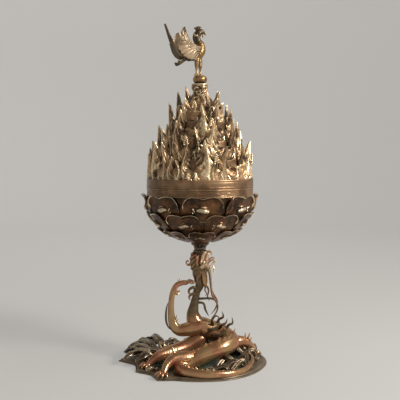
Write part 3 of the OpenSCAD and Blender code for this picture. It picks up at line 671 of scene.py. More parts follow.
at = 1 + np.round((SPINE_PLACES - 1) * BODY_STEPS / 3).astype(int)
ahead = unit(np.gradient(body_line[:, :3], axis=0))[at]
out = unit(np.cross(ahead, np.cross([0.3, -0.2, 1.0], ahead)))
wide = np.cross(ahead, out)
rise = np.linspace(0, 1, 10)[None, :, None, None]
length = np.linspace(-1, 1, 9)[None, None, :, None]
size = of_each((np.where(np.arange(len(at)) % 2, 0.65, 1.0) * np.linspace(1, 0.6, len(at)))[:, None])
middle = of_each(body_line[at, :3]) + of_each(out) * (of_each(body_line[at, 3:4]) - 2 + SPINE_H * size * rise)
middle = middle - of_each(ahead) * (5.5 + 4 * rise**2 + length * SPINE_HALF * (1 - rise)**0.8) * size
lens = np.sqrt(np.clip(1 - length**2, 0.01, 1)) * (1 - rise)**0.7
thick = of_each(wide) * SPINE_THICK * size * lens
spines = Casting().leaf(middle - thick, middle + thick, wear=-0.2)
spines.cast("dragon_thorns", "stand", "bronze", DRAGON_COPPER, "dragon_spines")

# %% [markdown]
# A leg is a tapered tube with faint scales, and with a shallow groove down its front and its back
# where it is thin. Four claws spread from the foot, each with a knuckle, and flame-like tufts stand
# on it. The raised foreleg also has a fringe of hair, which is a thin dark tube beside it. Bones could
# pose one leg four times, but cast legs never bend, and drawn lines may differ in every joint.

# %% How a leg is made
CLAW_SPREADS = (-50, -17, 17, 50)
FLAMES = ((-0.6, 0.75), (0.0, 1.0), (0.6, 0.8))


def leg_relief(run, angle, out, radius):
    """Scales, and a groove where the directions out point to the front or the back."""
    groove = smooth(0.7, 1.0, np.abs(out[..., 1])) * smooth(11, 7, radius)
    return -0.12 * radius * groove + scaled(5.2, 12, 0.1)(run, angle, out, radius)


def claw(foot, heading, drop):
    """A claw from the foot along a heading in degrees, over a knuckle and down by the drop."""
    ahead = polar(1.0, math.radians(heading), 0.0)
    far = np.array([0, 5, 10, 14, 17])[:, None]
    rise = np.array([0, 1.6, 2.4, 0.2, -drop])[:, None]
    line = np.column_stack([foot + far * ahead + rise * UP, [2.9, 2.7, 3.0, 1.9, 0.3]])
    return tube(spline(line, 6), 14, UP, floor=DRAGON_FLOOR)


def flame(at, way, swing, size):
    """A tuft that leaves a row of a leg's line along a way, swung to one side, and bends upwards."""
    lean = unit(way + swing * np.cross(way, (0, 1.0, 0)))
    far = np.array([0.3 * at[3], at[3] + 2 * size, at[3] + 6 * size, at[3] + 8 * size])[:, None]
    rise = size * np.array([0, 0, 2, 5])[:, None]
    line = np.column_stack([at[:3] + far * lean + rise * UP, size * np.array([2.8, 2.5, 1.7, 0.3])])
    return strand(line, 12, 6, depth=0.25)


def hair(line, start, end):
    """A fringe between two shares of a leg's line: it stands off to the left by a sine of its length."""
    part = line[int(start * len(line)):int(end * len(line)):3]
    arch = np.sin(np.pi * np.linspace(0, 1, len(part))[:, None])
    away = part[:, :3] + np.array([-1.0, -0.25, 0]) * (part[:, 3:4] + 3.4 * arch**0.6)
    return tube(np.column_stack([away, 0.3 + 1.9 * arch**0.7]), 12, (0, 1, 0), grooved(3, 0.2))


def leg(name, node, points, heading, tufts, drop=3, fringe=None):
    """A leg along the points, with claws about a heading, tufts as (share, direction, size) and a
    fringe between two shares of its length."""
    line = spaced(spline(points, 14), 0.9)
    foot = np.asarray(points[-1][:3], float)
    made = Casting().add(tube(line, 44, (0, 0.6, 0.8), leg_relief, floor=DRAGON_FLOOR), True, -0.12)
    made.add(bead(foot + 0.5 * UP, [5.2, 5.2, 4.2], 18, 11), True)
    for spread in CLAW_SPREADS:
        made.add(claw(foot, heading + spread, drop), True, -0.15)
    for share, direction, grown in tufts:
        way = unit(np.asarray(direction, float))
        for swing, size in FLAMES:
            made.add(flame(row_at(line, share), way, swing, size * grown), True)
    if fringe:
        made.add(hair(line, *fringe), True, -0.6)
    return made.cast(name, "stand", "bronze", DRAGON_COPPER, node)


# %% [markdown]
# One foreleg is raised in a bow beside the neck. The other is planted at the left, one hind leg stands
# in front, and the other one is at the right.

# %% Legs
leg("foreleg_raised", "raised_foreleg",
    [raised(0, -6, 62, 13), raised(-21, -11, 59, 13), raised(-39, -12, 58, 10.8), neck(0.12, -50, -12, 8),
     neck(0.42, -53.5, -11, 5.8), neck(0.74, -51, -10, 5.2), neck(0.93, -44, -8, 4.9),
     neck(0.99, -33, -6, 4.6), neck(0.99, -25, -4, 4.3)],
    heading=8, drop=-3, fringe=(0.26, 0.66),
    tufts=[(0.91, (0.1, -0.2, 1.0), 0.5), (0.40, (0.8, -0.5, 1.0), 0.8), (0.80, (0.7, 0.1, -0.9), 1.25)])
leg("foreleg_planted", "planted_foreleg",
    [raised(20, 7, 44, 5), raised(0, 0, 38, 14), raised(-26, -10, 25, 14), raised(-52, -26, 20, 12.5),
     raised(-74, -41, 17, 9.5), raised(-88, -51, 9, 6.5), raised(-93, -55, 4, 5)],
    heading=210, tufts=[(0.7, (-0.2, 0.6, 1.0), 1.0)])
leg("hindleg_front", "front_hindleg",
    [raised(-2, -58, 24, 8), raised(-24, -68, 20, 14), raised(-46, -80, 22, 10), raised(-58, -92, 15, 7),
     raised(-61, -100, 8, 5.6), raised(-62, -105, 4, 4.6)],
    heading=245, tufts=[(0.5, (-0.5, 0.3, 0.9), 1.0)])
leg("hindleg_side", "side_hindleg",
    [raised(44, -18, 38, 6), raised(60, -14, 36, 12), raised(82, -6, 34, 9), raised(97, 4, 20, 6.6),
     raised(101, 12, 9, 5.4), raised(102, 17, 4, 4.6)],
    heading=80, tufts=[(0.5, (0.6, -0.3, 1.0), 1.0)])

# %% [markdown]
# The head is turned up, and its jaws close on the spigot of the bowl. Skull, snout and jaw are tubes
# with their own swelling, set close together. Over them go brows, eyes, nostrils, lips and teeth.
# Locks hang from the cheeks. All this could be sculpted with brushes, but a few points with a radius
# each can be read and changed. What comes in pairs is given for one side and mirrored.

# %% Head
SKULL = [[0, 0, 149, 8.6], [-1, 0, 156, 10.2], [-1, 0, 164, 13], [0, 0, 173, 14.6], [1, 0, 181, 13.4],
         [2, 0, 186, 10.5], [2, 0, 190, 5]]
SNOUT = [[5, 0, 168, 7], [8, 0, 176, 8.6], [8.5, 0, 184, 8.0], [9, 0, 192, 7.4], [10.5, 0, 199, 6.8],
         [13, 0, 204, 5.2], [15, 0, 206.5, 1.5]]
SNOUT_CURL = [[14, 0, 205, 2.8], [18, 0, 206.5, 2.4], [21.5, 0, 204.5, 1.8], [21.5, 0, 201, 1.1],
              [19, 0, 200, 0.4]]
BROW = [[0, 10, 176, 3], [6, 13.5, 181, 3.6], [11, 12, 187, 3.2], [13, 8, 192, 1.0]]
DARK_LOCK = [[2, 12, 170, 3.2], [-3, 15, 164, 3.2], [-5, 15.5, 156, 2.2], [-3, 15, 149, 0.4]]
BROAD_LOCK = [[5, 9.5, 172, 5.0], [8, 11.5, 162, 5.4], [9.5, 11.5, 151, 4.4], [9, 10.5, 140, 0.8]]
LIP = [[3, 8.6, 188, 2.6], [4.5, 9.0, 196, 2.5], [7, 8, 203, 2.0], [11, 6, 207, 0.6]]
CHEEK = [[4, 12, 178, 2.4], [1.5, 12.5, 184, 2.2], [1.5, 11.5, 190, 1.6], [3, 10, 194, 0.5]]


def mirrored(points, side):
    """The points on their own side of the head, or with -1 on the other."""
    return [[x, side * y, z, r] for x, y, z, r in points]


def skull_relief(run, angle, out, radius):
    """Slanted grooves on the jaw's side, which fade in above the nape."""
    grooves = slanted(10.5, -0.7, 0.3)(run, angle, out, radius)
    return grooves * smooth(0.25, -0.2, out[..., 0]) * smooth(4, 14, run)


head = Casting().add(tube(spaced(spline(SKULL, 12), 0.7), 72, (1, 0, 0), skull_relief), True, -0.45)
head.add(tube(spaced(spline(SNOUT, 10), 0.7), 44, (0, 1, 0), grooved(5, 0.12)), True, 0.25)
for side in (-1, 1):
    # Brows and upper lips get a painted highlight in the rubbed colour.
    head.add(strand(mirrored(BROW, side), 18, 8), True, 0.35)
    head.add(strand(mirrored(DARK_LOCK, side), 16, 8, flat=0.7), True, -0.6)
    head.add(strand(mirrored(BROAD_LOCK, side), 22, 10), True, -0.15)
    head.add(strand(mirrored(LIP, side), 14, 7), True, 0.3)
    head.add(strand(mirrored(CHEEK, side), 12, 7), True, -0.2)
    head.add(bead([7.2, side * 10.6, 187.5], [3.2, 2.8, 3.2], 20, 13), True, 0.35)
    head.add(bead([14.5, side * 4.2, 203], [3.0, 2.6, 2.8], 16, 10), True, 0.2)
    for i in range(5):
        x, z = 3.0 + 0.7 * i, 188.5 + 3.7 * i
        tooth = [[x, 8.6, z, 1.8], [x - 2.6, 8.6, z + 0.6, 1.4], [x - 4.4, 8.2, z + 0.4, 0.4]]
        head.add(strand(mirrored(tooth, side), 8, 4), True, -0.5)
head.add(strand(SNOUT_CURL, 14, 8), True)
head.cast("dragon_skull", "stand", "bronze", DRAGON_COPPER, "dragon_head")

# %% [markdown]
# The lower jaw is one more tube, with grooves that run aslant, and with lips, teeth and a whisker on
# each side that curls up. It is a piece of its own, because the model's jaw is one too.

# %% Jaw
JAW = [[-5, 0, 168, 6], [-8.5, 0, 176, 8.4], [-10.2, 0, 184, 8.6], [-10.6, 0, 192, 8.2], [-10.4, 0, 199, 7.4],
       [-9.6, 0, 204, 5.6], [-9, 0, 206.5, 2]]
JAW_LIP = [[-2, 10, 178, 2.6], [-5.5, 10, 186, 2.6], [-6, 9.2, 195, 2.3], [-7, 7, 203, 1.2]]
WHISKER = [[-14, 3, 186, 2.2], [-19, 3.5, 182, 2.0], [-23.5, 3.5, 182.5, 1.7], [-25.5, 3.2, 187, 1.3],
           [-22.5, 3, 189.5, 0.9], [-20.5, 3, 187, 0.4]]
jaw = Casting().add(tube(spaced(spline(JAW, 10), 0.7), 48, (0, 1, 0), slanted(8.5, -0.9, 0.8)), True, -0.5)
for side in (-1, 1):
    jaw.add(strand(mirrored(JAW_LIP, side), 14, 8), True, -0.35)
    jaw.add(strand(mirrored(WHISKER, side), 12, 8), True, -0.5)
    for i in range(4):
        x, z = -5.0 - 0.3 * i, 186.5 + 4.0 * i
        tooth = [[x, 8.6, z, 1.7], [x + 2.4, 8.6, z + 0.5, 1.3], [x + 4.2, 8.3, z + 0.3, 0.4]]
        jaw.add(strand(mirrored(tooth, side), 8, 4), True, -0.7)
jaw.cast("dragon_lower_jaw", "stand", "bronze", DRAGON_COPPER, "dragon_jaw")

# %% [markdown]
# Horns sweep down from the brows, with rings that get closer towards the tip. A bump map would do for
# the rings from afar, but a thin horn shows them in its outline. At the root of each is a boss with a
# curl above it, and beside it three small beads on a bent wire.

# %% Horns
HORN = [[10, 16.5, 179.5, 2.6], [17, 17.34, 171.5, 2.7], [20, 17.7, 147.5, 2.2], [23, 18.06, 127.5, 1.9],
        [32, 19.14, 111.5, 1.6], [30, 18.9, 97.5, 1.4], [21, 17.82, 85.5, 0.5]]
HORN_CURL = [[14, 15, 186, 1.6], [20, 15, 192, 1.6], [25, 15, 193, 1.5], [27, 15, 189, 1.3],
             [24, 15, 187.5, 0.9]]
HORN_WIRE = [[17, 17, 176, 1.0], [22, 17, 180, 0.9], [25, 17, 180, 0.9], [25.4, 17, 172, 0.7]]
WIRE_BEADS = np.array([[24.5, 16.5, 183], [25.5, 17, 177], [25, 17, 171.5]])
WIRE_BEAD_SIZES = [[2.2, 1.8, 2.2], [1.9, 1.6, 1.9], [1.5, 1.4, 1.5]]


def horn_rings(run, angle, out, radius):
    """Relief of rings: a cosine of the run and a little of its square."""
    return 0.14 * radius * np.cos(TURN * (run / 4.0 + 0.0012 * run**2))


horns = Casting()
for side in (-1, 1):
    horn_line = spaced(spline(mirrored(HORN, side), 20), 0.5)
    horns.add(tube(horn_line, 18, (0, 1, 0), horn_rings), True, -0.75)
    horns.add(bead([10, side * 13.5, 179.5], [4.2, 4.0, 4.2], 18, 11), True)
    horns.add(strand(mirrored(HORN_CURL, side), 12, 8), True)
    horns.add(bead(WIRE_BEADS * (1, side, 1), WIRE_BEAD_SIZES, 12, 8), True, 0.2)
    horns.add(tube(spline(mirrored(HORN_WIRE, side), 8), 8), True)
horns.cast("dragon_horn_pair", "stand", "bronze", DRAGON_COPPER, "dragon_horns")

# %% [markdown]
# The mane leaves neck and shoulder in strands that curl. Hands don't reach between them, so they are
# dark. Hair particles would give hundreds of fine hairs, but cast hair is a few thick locks. Their
# lines are drawn: thick at the root, thin at the tip.

# %% Mane
MANE = [
    [neck(0.94, 3, 1, 3.2), neck(0.9, 13, 0, 2.6), neck(0.8, 16, -1, 2.1), neck(0.68, 14, -1, 1.7),
     neck(0.58, 18, -1, 0.5)],
    [neck(0.62, -7, 1, 3.4), neck(0.64, 8, -2, 2.8), neck(0.64, 21, -3, 2.6), neck(0.58, 31, -3, 2.0),
     neck(0.48, 30, -3, 0.6)],
    [neck(0.54, -8, 2, 3.4), neck(0.52, 6, 3, 2.8), neck(0.38, 10, 3, 2.6), neck(0.24, 16, 3, 0.7)],
    [neck(0.98, 7, -4, 2.2), neck(0.92, 11, -6, 1.9), neck(0.84, 9, -7, 1.6), neck(0.76, 12, -7, 1.2),
     neck(0.7, 10, -7, 0.4)],
    [neck(0.86, -5, -2, 4.2), neck(0.89, -13, -5, 3.8), neck(0.84, -20, -6, 3.2), neck(0.76, -20, -6, 2.4),
     neck(0.75, -15, -6, 0.8)],
    [neck(0.74, -7, -2, 4), neck(0.75, -14, -5, 3.4), neck(0.69, -20, -6, 2.6), neck(0.63, -19, -6, 1.6),
     neck(0.62, -15, -6, 0.6)],
    [raised(30, 2, 60, 4), raised(35, 0, 74, 3.4), raised(43, -2, 80, 2.6), raised(41, -3, 90, 0.6)],
    [raised(46, -5, 50, 4), raised(52, -8, 65, 3.4), raised(60, -9, 70, 2.4), raised(59, -10, 81, 0.6)],
    [raised(24, -8, 66, 4), raised(22, -14, 76, 3.2), raised(27, -16, 84, 2.4), raised(33, -16, 84, 1.6),
     raised(34, -16, 79, 0.5)],
    [raised(36, -10, 60, 4.4), raised(40, -17, 68, 3.4), raised(47, -18, 72, 2.4), raised(50, -18, 80, 0.5)],
    [raised(16, -12, 58, 5), raised(24, -19, 60, 4), raised(33, -20, 66, 2.8), raised(36, -19, 75, 0.6)],
    [raised(26, -14, 48, 5), raised(36, -20, 50, 4), raised(46, -20, 57, 2.6), raised(49, -19, 66, 0.5)]]
mane = Casting()
for points in MANE:
    mane.add(strand(points, 20, 14, depth=0.3, flat=0.8), True, -0.85)
mane.cast("dragon_mane_strands", "stand", "bronze", DRAGON_COPPER, "dragon_mane")

# %% [markdown]
# ## The bowl
# The collar is turned, with a ring at its foot and a fluted flare under the bowl. Its spigot goes into
# the jaws and its tenon up into the bowl, where it was hammered over. Rings stacked on each other
# would do, but one outline has no seams, and the flutes are a relief on it.

# %% Collar
SEAT_Z, SEAT_R, TENON_R, TENON_PLAY = 221.5, 16.5, 5.0, 0.1
COLLAR = [[0, 166], [6.8, 166], [7.5, 167], [7.5, 205], [9, 206], [12.6, 206.4], [13.4, 207.6], [12.6, 209],
          [10.6, 209.8], [10.6, 212.4], [11.6, 213], [11.6, 214.4], [11, 215], [12.5, 217.5], [16.2, 220.4],
          [SEAT_R, SEAT_Z - 0.1], [TENON_R, SEAT_Z], [TENON_R, 232], [0, 232.2]]


def flutes(angle, height):
    """Sixteen waves round the flare."""
    return 0.5 * np.cos(16 * angle) * smooth(214.5, 218, height) * smooth(SEAT_Z - 0.1, SEAT_Z - 1.3, height)


collar = Casting().add(lathe(spaced(COLLAR, 0.5), 96, flutes), True)
collar.cast("bowl_collar_turned", "stand", "dark_bronze", WATER_BROWN, "bowl_collar")

# %% [markdown]
# The bowl is half of an egg under a straight band, and running spirals are engraved on the band
# between two raised lines. Its inside is plain. The spirals could be cut with a Boolean, but as a
# relief they leave one clean surface. The band needs fine points for them and the rest does not, so
# each stretch of the outline has its own spacing.

# %% Bowl
BOWL_R, BOWL_DEEP, BOWL_WALL = 97.5, 88.0, 3.2
BAND_Z, RIM_Z, FLOOR_TOP = 311.0, 327.0, 228.2
BAND_R, BAND_LINE = BOWL_R - 0.4, 1.2
SPIRALS, SPIRAL_Z, SPIRAL_R = 26, 318.3, 4.2


def bowl_r(z):
    """Radius of the bowl: an ellipse below the band, straight above."""
    return BOWL_R * np.sqrt(np.clip(1 - (np.maximum(BAND_Z - z, 0) / BOWL_DEEP)**2, 0, 1))


def half_round(z, radius=BAND_R, size=BAND_LINE, steps=7):
    """Outline points of a raised line on a band, from below to above."""
    swing = np.linspace(-np.pi / 2, np.pi / 2, steps)
    return np.column_stack([radius + size * np.cos(swing), z + size * np.sin(swing)]).tolist()


def running_spirals(angle, height):
    """An engraved line on the band: in each cell a spiral, joined to the next by an S."""
    cell = (angle * SPIRALS / TURN) % 1 - 0.5
    x, y = cell * TURN * BOWL_R / SPIRALS, height - SPIRAL_Z
    away, way = np.hypot(x, y * 1.15), np.arctan2(y * 1.15, x)
    coil = smooth(0.75, 0.98, np.cos(way - away * 1.9)) * smooth(SPIRAL_R, SPIRAL_R - 1, away)
    wave = np.abs(y - 0.55 * SPIRAL_R * np.sin(TURN * cell))
    wave = smooth(0.7, 0.2, wave) * smooth(SPIRAL_R - 1, SPIRAL_R, away)
    band = smooth(313.6, 314, height) * smooth(323, 322.6, height)
    return -0.45 * np.maximum(coil, wave) * smooth(SPIRAL_R + 0.8, SPIRAL_R, np.abs(y)) * band


def egg(swing, radius, deep):
    """Outline points of a quarter of an ellipse that hangs from the band."""
    return np.column_stack([radius * np.sin(swing), BAND_Z - deep * np.cos(swing)]).tolist()


hole, inner = TENON_R + TENON_PLAY, BOWL_R - BOWL_WALL
outside = [[hole, SEAT_Z], [SEAT_R, SEAT_Z]] + egg(np.linspace(0.17, np.pi / 2, 40), BOWL_R, BOWL_DEEP)
band = half_round(BAND_Z + BAND_LINE) + [[97.2, 313.8], [97.2, 322.9]] + half_round(324.6)
mouth = [[BOWL_R, RIM_Z - 0.6], [BAND_R, RIM_Z], [inner + 0.3, RIM_Z], [inner, RIM_Z - 0.4]]
inside = egg(np.linspace(np.pi / 2, 0.2, 40), inner, BOWL_DEEP - BOWL_WALL)
floor = [[SEAT_R, FLOOR_TOP], [hole, FLOOR_TOP], [hole, SEAT_Z]]
bowl_outline = np.vstack([spaced(outside, 2.4), spaced(band + mouth, 0.7), spaced(inside + floor, 4.0)])
bowl = Casting().add(lathe(bowl_outline, 600, running_spirals), True)
bowl.cast("bowl_banded", "stand", "bronze", BAND_GOLD, "bowl_shell", below=(BOWL_BROWN, BAND_Z - 0.4))

# %% [markdown]
# Three tiers of lotus petals cover the bowl. A petal is a grid that lies on the bowl's own curve. It
# is narrow at the root, two lobes meet in a notch at its top, its rim is a raised line with a fine
# groove inside it, and it curls off the bowl. One petal could be modelled and bent on eight times, but
# a grid follows the bowl exactly, and eight are worked out at once. On each swims a small fish that was
# pressed into the wax, to the left and to the right by turns.

# %% Petals
PETALS, PETAL_HALF, PETAL_T = 8, math.radians(20), 1.2


def fish(x, y):
    """Height of a fish that looks to -x, about 25 long and bent like a sine: half an ellipsoid with
    scales and an eye, a forked tail and a fin on its back."""
    y = y - 1.2 * np.sin(x / 4)
    trunk = 5.0 * np.sqrt(np.clip(1 - (x / 10)**2 - (y / 4.4)**2, 0, 1))
    scales = 0.35 * np.cos(2.2 * x) * np.cos(2.2 * y) * (trunk > 0.8)
    eye = 0.7 * smooth(1.3, 0.6, np.hypot(x + 7, y - 0.8))
    fork = smooth(1.2, 0, np.abs(y) - 0.75 * (x - 8.5)) * (0.7 + 0.3 * np.cos(5 * y))
    tail = 2.8 * smooth(9, 10.5, x) * smooth(15.5, 14.5, x) * fork
    fin = 2.2 * smooth(1, 0, np.abs(x + 1) / 4 + np.maximum(y - 6.5, 0) - 0.6) * smooth(2.5, 4, y)
    return np.maximum(np.maximum(trunk + scales + eye, tail), fin)


def petal_tier(name, node, low, high, turn, off):
    """Eight petals from low to high, as shares of the bowl's depth above its foot. Across a petal u runs
    from -1 to 1, up it v from 0 to 1, and its tip stands off the bowl."""
    place = np.radians(turn - 90 + 360 / PETALS * np.arange(PETALS))[:, None, None]
    v = np.concatenate([np.linspace(0, 0.84, 34), np.linspace(0.85, 1, 18)])[None, :, None]
    u = np.sin(np.linspace(-np.pi / 2, np.pi / 2, 75))[None, None, :]
    edge = np.abs(u)
    tall = (high - low) * BOWL_DEEP
    foot = BAND_Z - BOWL_DEEP + low * BOWL_DEEP
    notch = 0.08 * (1 - np.minimum(2 * edge, 1))**2
    shoulder = 0.42 * (1 - np.sqrt(1 - np.maximum(2 * edge - 1, 0)**2))
    rise = v * (1 - notch - shoulder)
    z = foot + tall * rise
    wide = PETAL_HALF * np.maximum(0.3, np.sqrt(1 - (1 - np.minimum(v / 0.6, 1))**2)) * u
    rim = np.maximum(smooth(0.957, 0.975, v), smooth(0.968, 0.985, edge) * smooth(0.55, 0.9, v))
    groove = np.maximum(smooth(0.86, 0.88, v) * smooth(0.93, 0.91, v),
                        smooth(0.87, 0.89, edge) * smooth(0.93, 0.91, edge) * smooth(0.45, 0.6, v))
    groove = groove * (edge < 0.935) * (v < 0.935)
    way = np.where(np.arange(PETALS) % 2, 1.0, -1.0)[:, None, None]
    size = 1.2 * (high - low) / 0.5
    boss = fish(way * wide * bowl_r(z) / size, tall * (1.1 * rise - 0.5) / size) * size
    boss = boss * smooth(0.9, 0.8, edge) * smooth(0.86, 0.8, v)
    lift = 0.8 + 1.2 * v**2 + off * v**10 * (1 - 0.35 * u**2)

    def skin(thick):
        """The petal's surface at a thickness, which drops a little where the bowl turns under."""
        out = lift + thick
        return polar(bowl_r(z) + out, place + wide, z - 0.45 * out * np.maximum(0, BAND_Z - z) / BOWL_DEEP)

    front, back = skin(PETAL_T + boss + 1.2 * rim - 0.4 * groove), skin(0.0 * rim)
    # Rims, most towards the petal tops, and the fish get a painted highlight in the rubbed colour.
    worn_and_painted_light = (0.25 + 0.75 * smooth(0.7, 0.95, v)) * rim + 0.42 * smooth(0.8, 3.5, boss)
    return Casting().leaf(front, back, worn_and_painted_light).cast(name, "stand", "bronze", BOWL_BROWN, node)


petal_tier("petal_tier_upper", "petals_upper", low=0.53, high=1.03, turn=3, off=6.5)
petal_tier("petal_tier_middle", "petals_middle", low=0.245, high=0.68, turn=25.5, off=4.0)
petal_tier("petal_tier_lower", "petals_lower", low=0.05, high=0.335, turn=3, off=2.5)

# %% [markdown]
# ## The lid
# The lid is a stepped dome over a plain band, with a flange below that sits in the bowl. Smoke leaves
# through small round holes behind every second valley. Here they are deep dimples, dark at the bottom:
# a turned form with a relief stays one closed surface, and holes would need cutting.

# %% Lid shell
STEP_H, LID_WALL, WALL_LEAN = 34.0, 3.0, 3.0
RANGES = range(4)
PEAKS = [15, 13, 10, 7]
LEDGE_Z = [342.0 + STEP_H * k for k in RANGES]
WALL_R = [83.125 - 17.375 * k for k in RANGES]
CROWN_Z = LEDGE_Z[-1] + STEP_H
VENT_DEEP, VENT_EDGE = 2.6, (2.4, 1.6)
FLANGE_R, FLANGE_Z = 93.9, 319.0


def vents(angle, height):
    """Dimples behind every second valley of the three lower ranges."""
    depth = np.zeros(np.broadcast_shapes(angle.shape, height.shape))
    for k in RANGES[:3]:
        for i in range(0, PEAKS[k], 2):
            off = (angle - TURN * (i + 0.5) / PEAKS[k] + np.pi) % TURN - np.pi
            away = np.hypot(off * WALL_R[k], height - LEDGE_Z[k] - 0.8 * STEP_H)
            depth = np.maximum(depth, VENT_DEEP * smooth(*VENT_EDGE, away))
    return -depth


steps_out = []
for radius, ledge in zip(WALL_R, LEDGE_Z):
    steps_out += [[radius, ledge], [radius - WALL_LEAN, ledge + STEP_H]]
steps_in = [[radius - LID_WALL, height - LID_WALL] for radius, height in steps_out]
inner = FLANGE_R - LID_WALL
under = [[0, CROWN_Z - LID_WALL]] + steps_in[::-1] + [[inner, 339]]
flange = [[inner, 338], [inner, FLANGE_Z + 0.3], [inner + 0.4, FLANGE_Z], [FLANGE_R - 0.4, FLANGE_Z],
          [FLANGE_R, FLANGE_Z + 0.4], [FLANGE_R, RIM_Z]]
band = [[BAND_R, RIM_Z], [BOWL_R, RIM_Z + 0.5]] + half_round(RIM_Z + 2 * BAND_LINE) + [
    [97.3, 331], [BOWL_R, 331.6], [BOWL_R, 337.6], [BAND_R, 338.0], [BAND_R, 338.6], [BOWL_R, 339.0],
    [BOWL_R, 341.4], [97.0, LEDGE_Z[0]]]
over = steps_out + [[0, CROWN_Z]]
lid_outline = np.vstack([spaced(under, 5.0), spaced(flange + band, 0.9), spaced(over, 1.9)])
lid = Casting().add(lathe(lid_outline, 440, vents), True)
lid.cast("lid_dome", "lid", "bronze", BAND_GOLD, "lid_shell")

# %% [markdown]
# ## Mountains
# A peak is a folded leaf, like one flame of a fire. Its half width shrinks as it rises, its middle
# sways, its sides fold back towards the dome from a crest, and spurs run down from the crest on both
# sides. The ranges could be one wall cut to a zigzag, but then no peak would hide another. Here lower
# peaks overlap tall ones, and small ones stand at their feet, as in a painted landscape.

# %% How a peak is made
def peaks(radius, angle, base, width, height, sway, crest=9.0, spurs=2.6, slope=1.1, fold=1.7, lean=4.0,
          power=1.3, thick=2.6, rows=36, cols=41):
    """Front and back grids of peaks, and a value for their finish that is lighter on the crest and the upper
    part, with painted shade on the sides. Across a peak u runs from -1 to 1, up it v from 0 to 1. Its half
    width is (1 - v) to a power, its middle a slow wave, its crest 1 - u to a power, and its spurs are a
    cosine of v + u on either side of the crest, which an uneven ground puts out of step."""
    sizes = [np.asarray(size, float) for size in (radius, angle, base, width, height, sway)]
    sizes = [size.reshape(-1, 1, 1) for size in np.broadcast_arrays(*sizes)]
    radius, angle, base, width, height, sway = sizes
    v = np.linspace(0, 1, rows)[None, :, None]
    u = np.linspace(-1, 1, cols)[None, None, :]
    edge = np.abs(u)
    z = base + height * v
    ground = polar(radius, angle + u * width / radius, z)
    apart = 0.25 * np.sign(u) * smooth(0.1, 0.3, edge)
    phase = TURN * (spurs * v + slope * edge + 0.31 * sway + apart + 0.35 * crinkle(ground, 46, 5))
    ragged = 1 + 0.14 * np.cos(phase + 0.6) * smooth(0, 0.15, v) * smooth(1, 0.75, v)
    half = width * (1 - v)**power * ragged + 1.3 * smooth(1.0, 0.9, v) + 0.5
    middle = sway * (np.sin(4.4 * v + 0.7 * sway) - np.sin(0.7 * sway)) * 0.8
    turn = angle + (middle + u * half) / radius
    slim = np.minimum(1, half / 11)
    folds = fold * np.cos(phase) * smooth(0.06, 0.4, edge) + 0.25 * fold * crinkle(ground, 18, 6)
    folds = folds * slim * smooth(0, 0.1, v)
    fall = 1 - (1 - edge)**1.25 + 0.2 * smooth(0.25, 0.0, v)
    front = radius - lean * v - crest * slim * fall + folds
    back = radius - lean * v - crest * slim - thick * (1 - 0.35 * v) - 0.3 * fold
    # The sides that fold back towards the dome get painted shade; crests and upper parts come out lighter.
    painted_side_shade = 0.55 * smooth(0.45, 1.0, edge) * smooth(0.95, 0.7, v)
    worn_and_painted_light = 0.3 * (1 - edge)**2 - painted_side_shade + 0.2 * smooth(0.6, 1.0, v)
    return polar(front, turn, z), polar(back, turn, z), worn_and_painted_light


def ledge_r(k):
    """Radius of the edge of ledge k, a little inside the wall below it."""
    return (BOWL_R if k == 0 else WALL_R[k - 1] - WALL_LEAN) - 0.6


def terrace(k):
    """A low smooth wall in front of a step of the dome: soft lumps and a wavy top, set back behind the
    peaks."""
    n = PEAKS[k]
    turn = all_round(n * 30)
    t = np.linspace(0, 1, 16)[:, None]
    out = ledge_r(k)
    high = 20 + 2.5 * np.sin(n * turn + k) + 1.5 * np.sin(2 * n * turn + 2 * k)
    lump = crinkle(polar(out, turn, 1.4 * t * high), 34, 40 + k)
    reach = out - 3.2 - 2.6 * t**2 + 1.1 * lump - 2.0 * smooth(0.85, 1, t)**2
    skin = polar(reach, turn, LEDGE_Z[k] + t * high)
    inner = polar(WALL_R[k] + 0.4, turn, LEDGE_Z[k] + np.array([[0.0], [1.0]]) * high)
    return np.concatenate([inner[:1], skin, inner[1:], inner[:1]])


print("a peak:", [part.shape for part in peaks(90, 0, 0, 15, 60, 3)[:2]])

# %% [markdown]
# Creatures and trees live between the peaks. They are as small as a thumbnail, so an animal is a few
# bent tubes, and a tree is a stem with flat beads as leaves, left and right by turns.

# %% Animals and trees
BEAST_LEGS = (-3, -1.6, 2, 3.4)


def directions(angle):
    """The way along a wall and the way out of it, at an angle round the axis."""
    return polar(1.0, angle + np.pi / 2, 0.0), polar(1.0, angle, 0.0)


def beast(place, angle, high, size, way):
    """A small animal against the rock: body, neck and head in one, a tail and four legs, as tubes."""
    across, out = directions(angle)
    spot = polar(place, angle, high)

    def at(x, y, z, r):
        """A point along the wall, out of it and up, and a radius."""
        return [*(spot + size * (x * way * across + y * out + z * UP)), r * size]

    trunk = [at(-4, 0, 4, 1.2), at(-2, 0.4, 4.6, 2.2), at(1.5, 0.4, 4.4, 2.2), at(4, 0.2, 6, 1.6),
             at(5.4, 0.3, 7.6, 1.5), at(7.6, 0.3, 7.2, 0.7)]
    tail = [at(-4, 0, 4, 0.9), at(-5.6, 0, 6, 0.7), at(-5.0, 0, 8.4, 0.4)]
    legs = [[at(x, 0.6, 4, 1.2), at(x + 0.5, 0.8, 2, 0.9), at(x, 0.8, -0.6, 0.7)] for x in BEAST_LEGS]
    return [tube(spline(line, 5), 12, out) for line in (trunk, tail, *legs)]


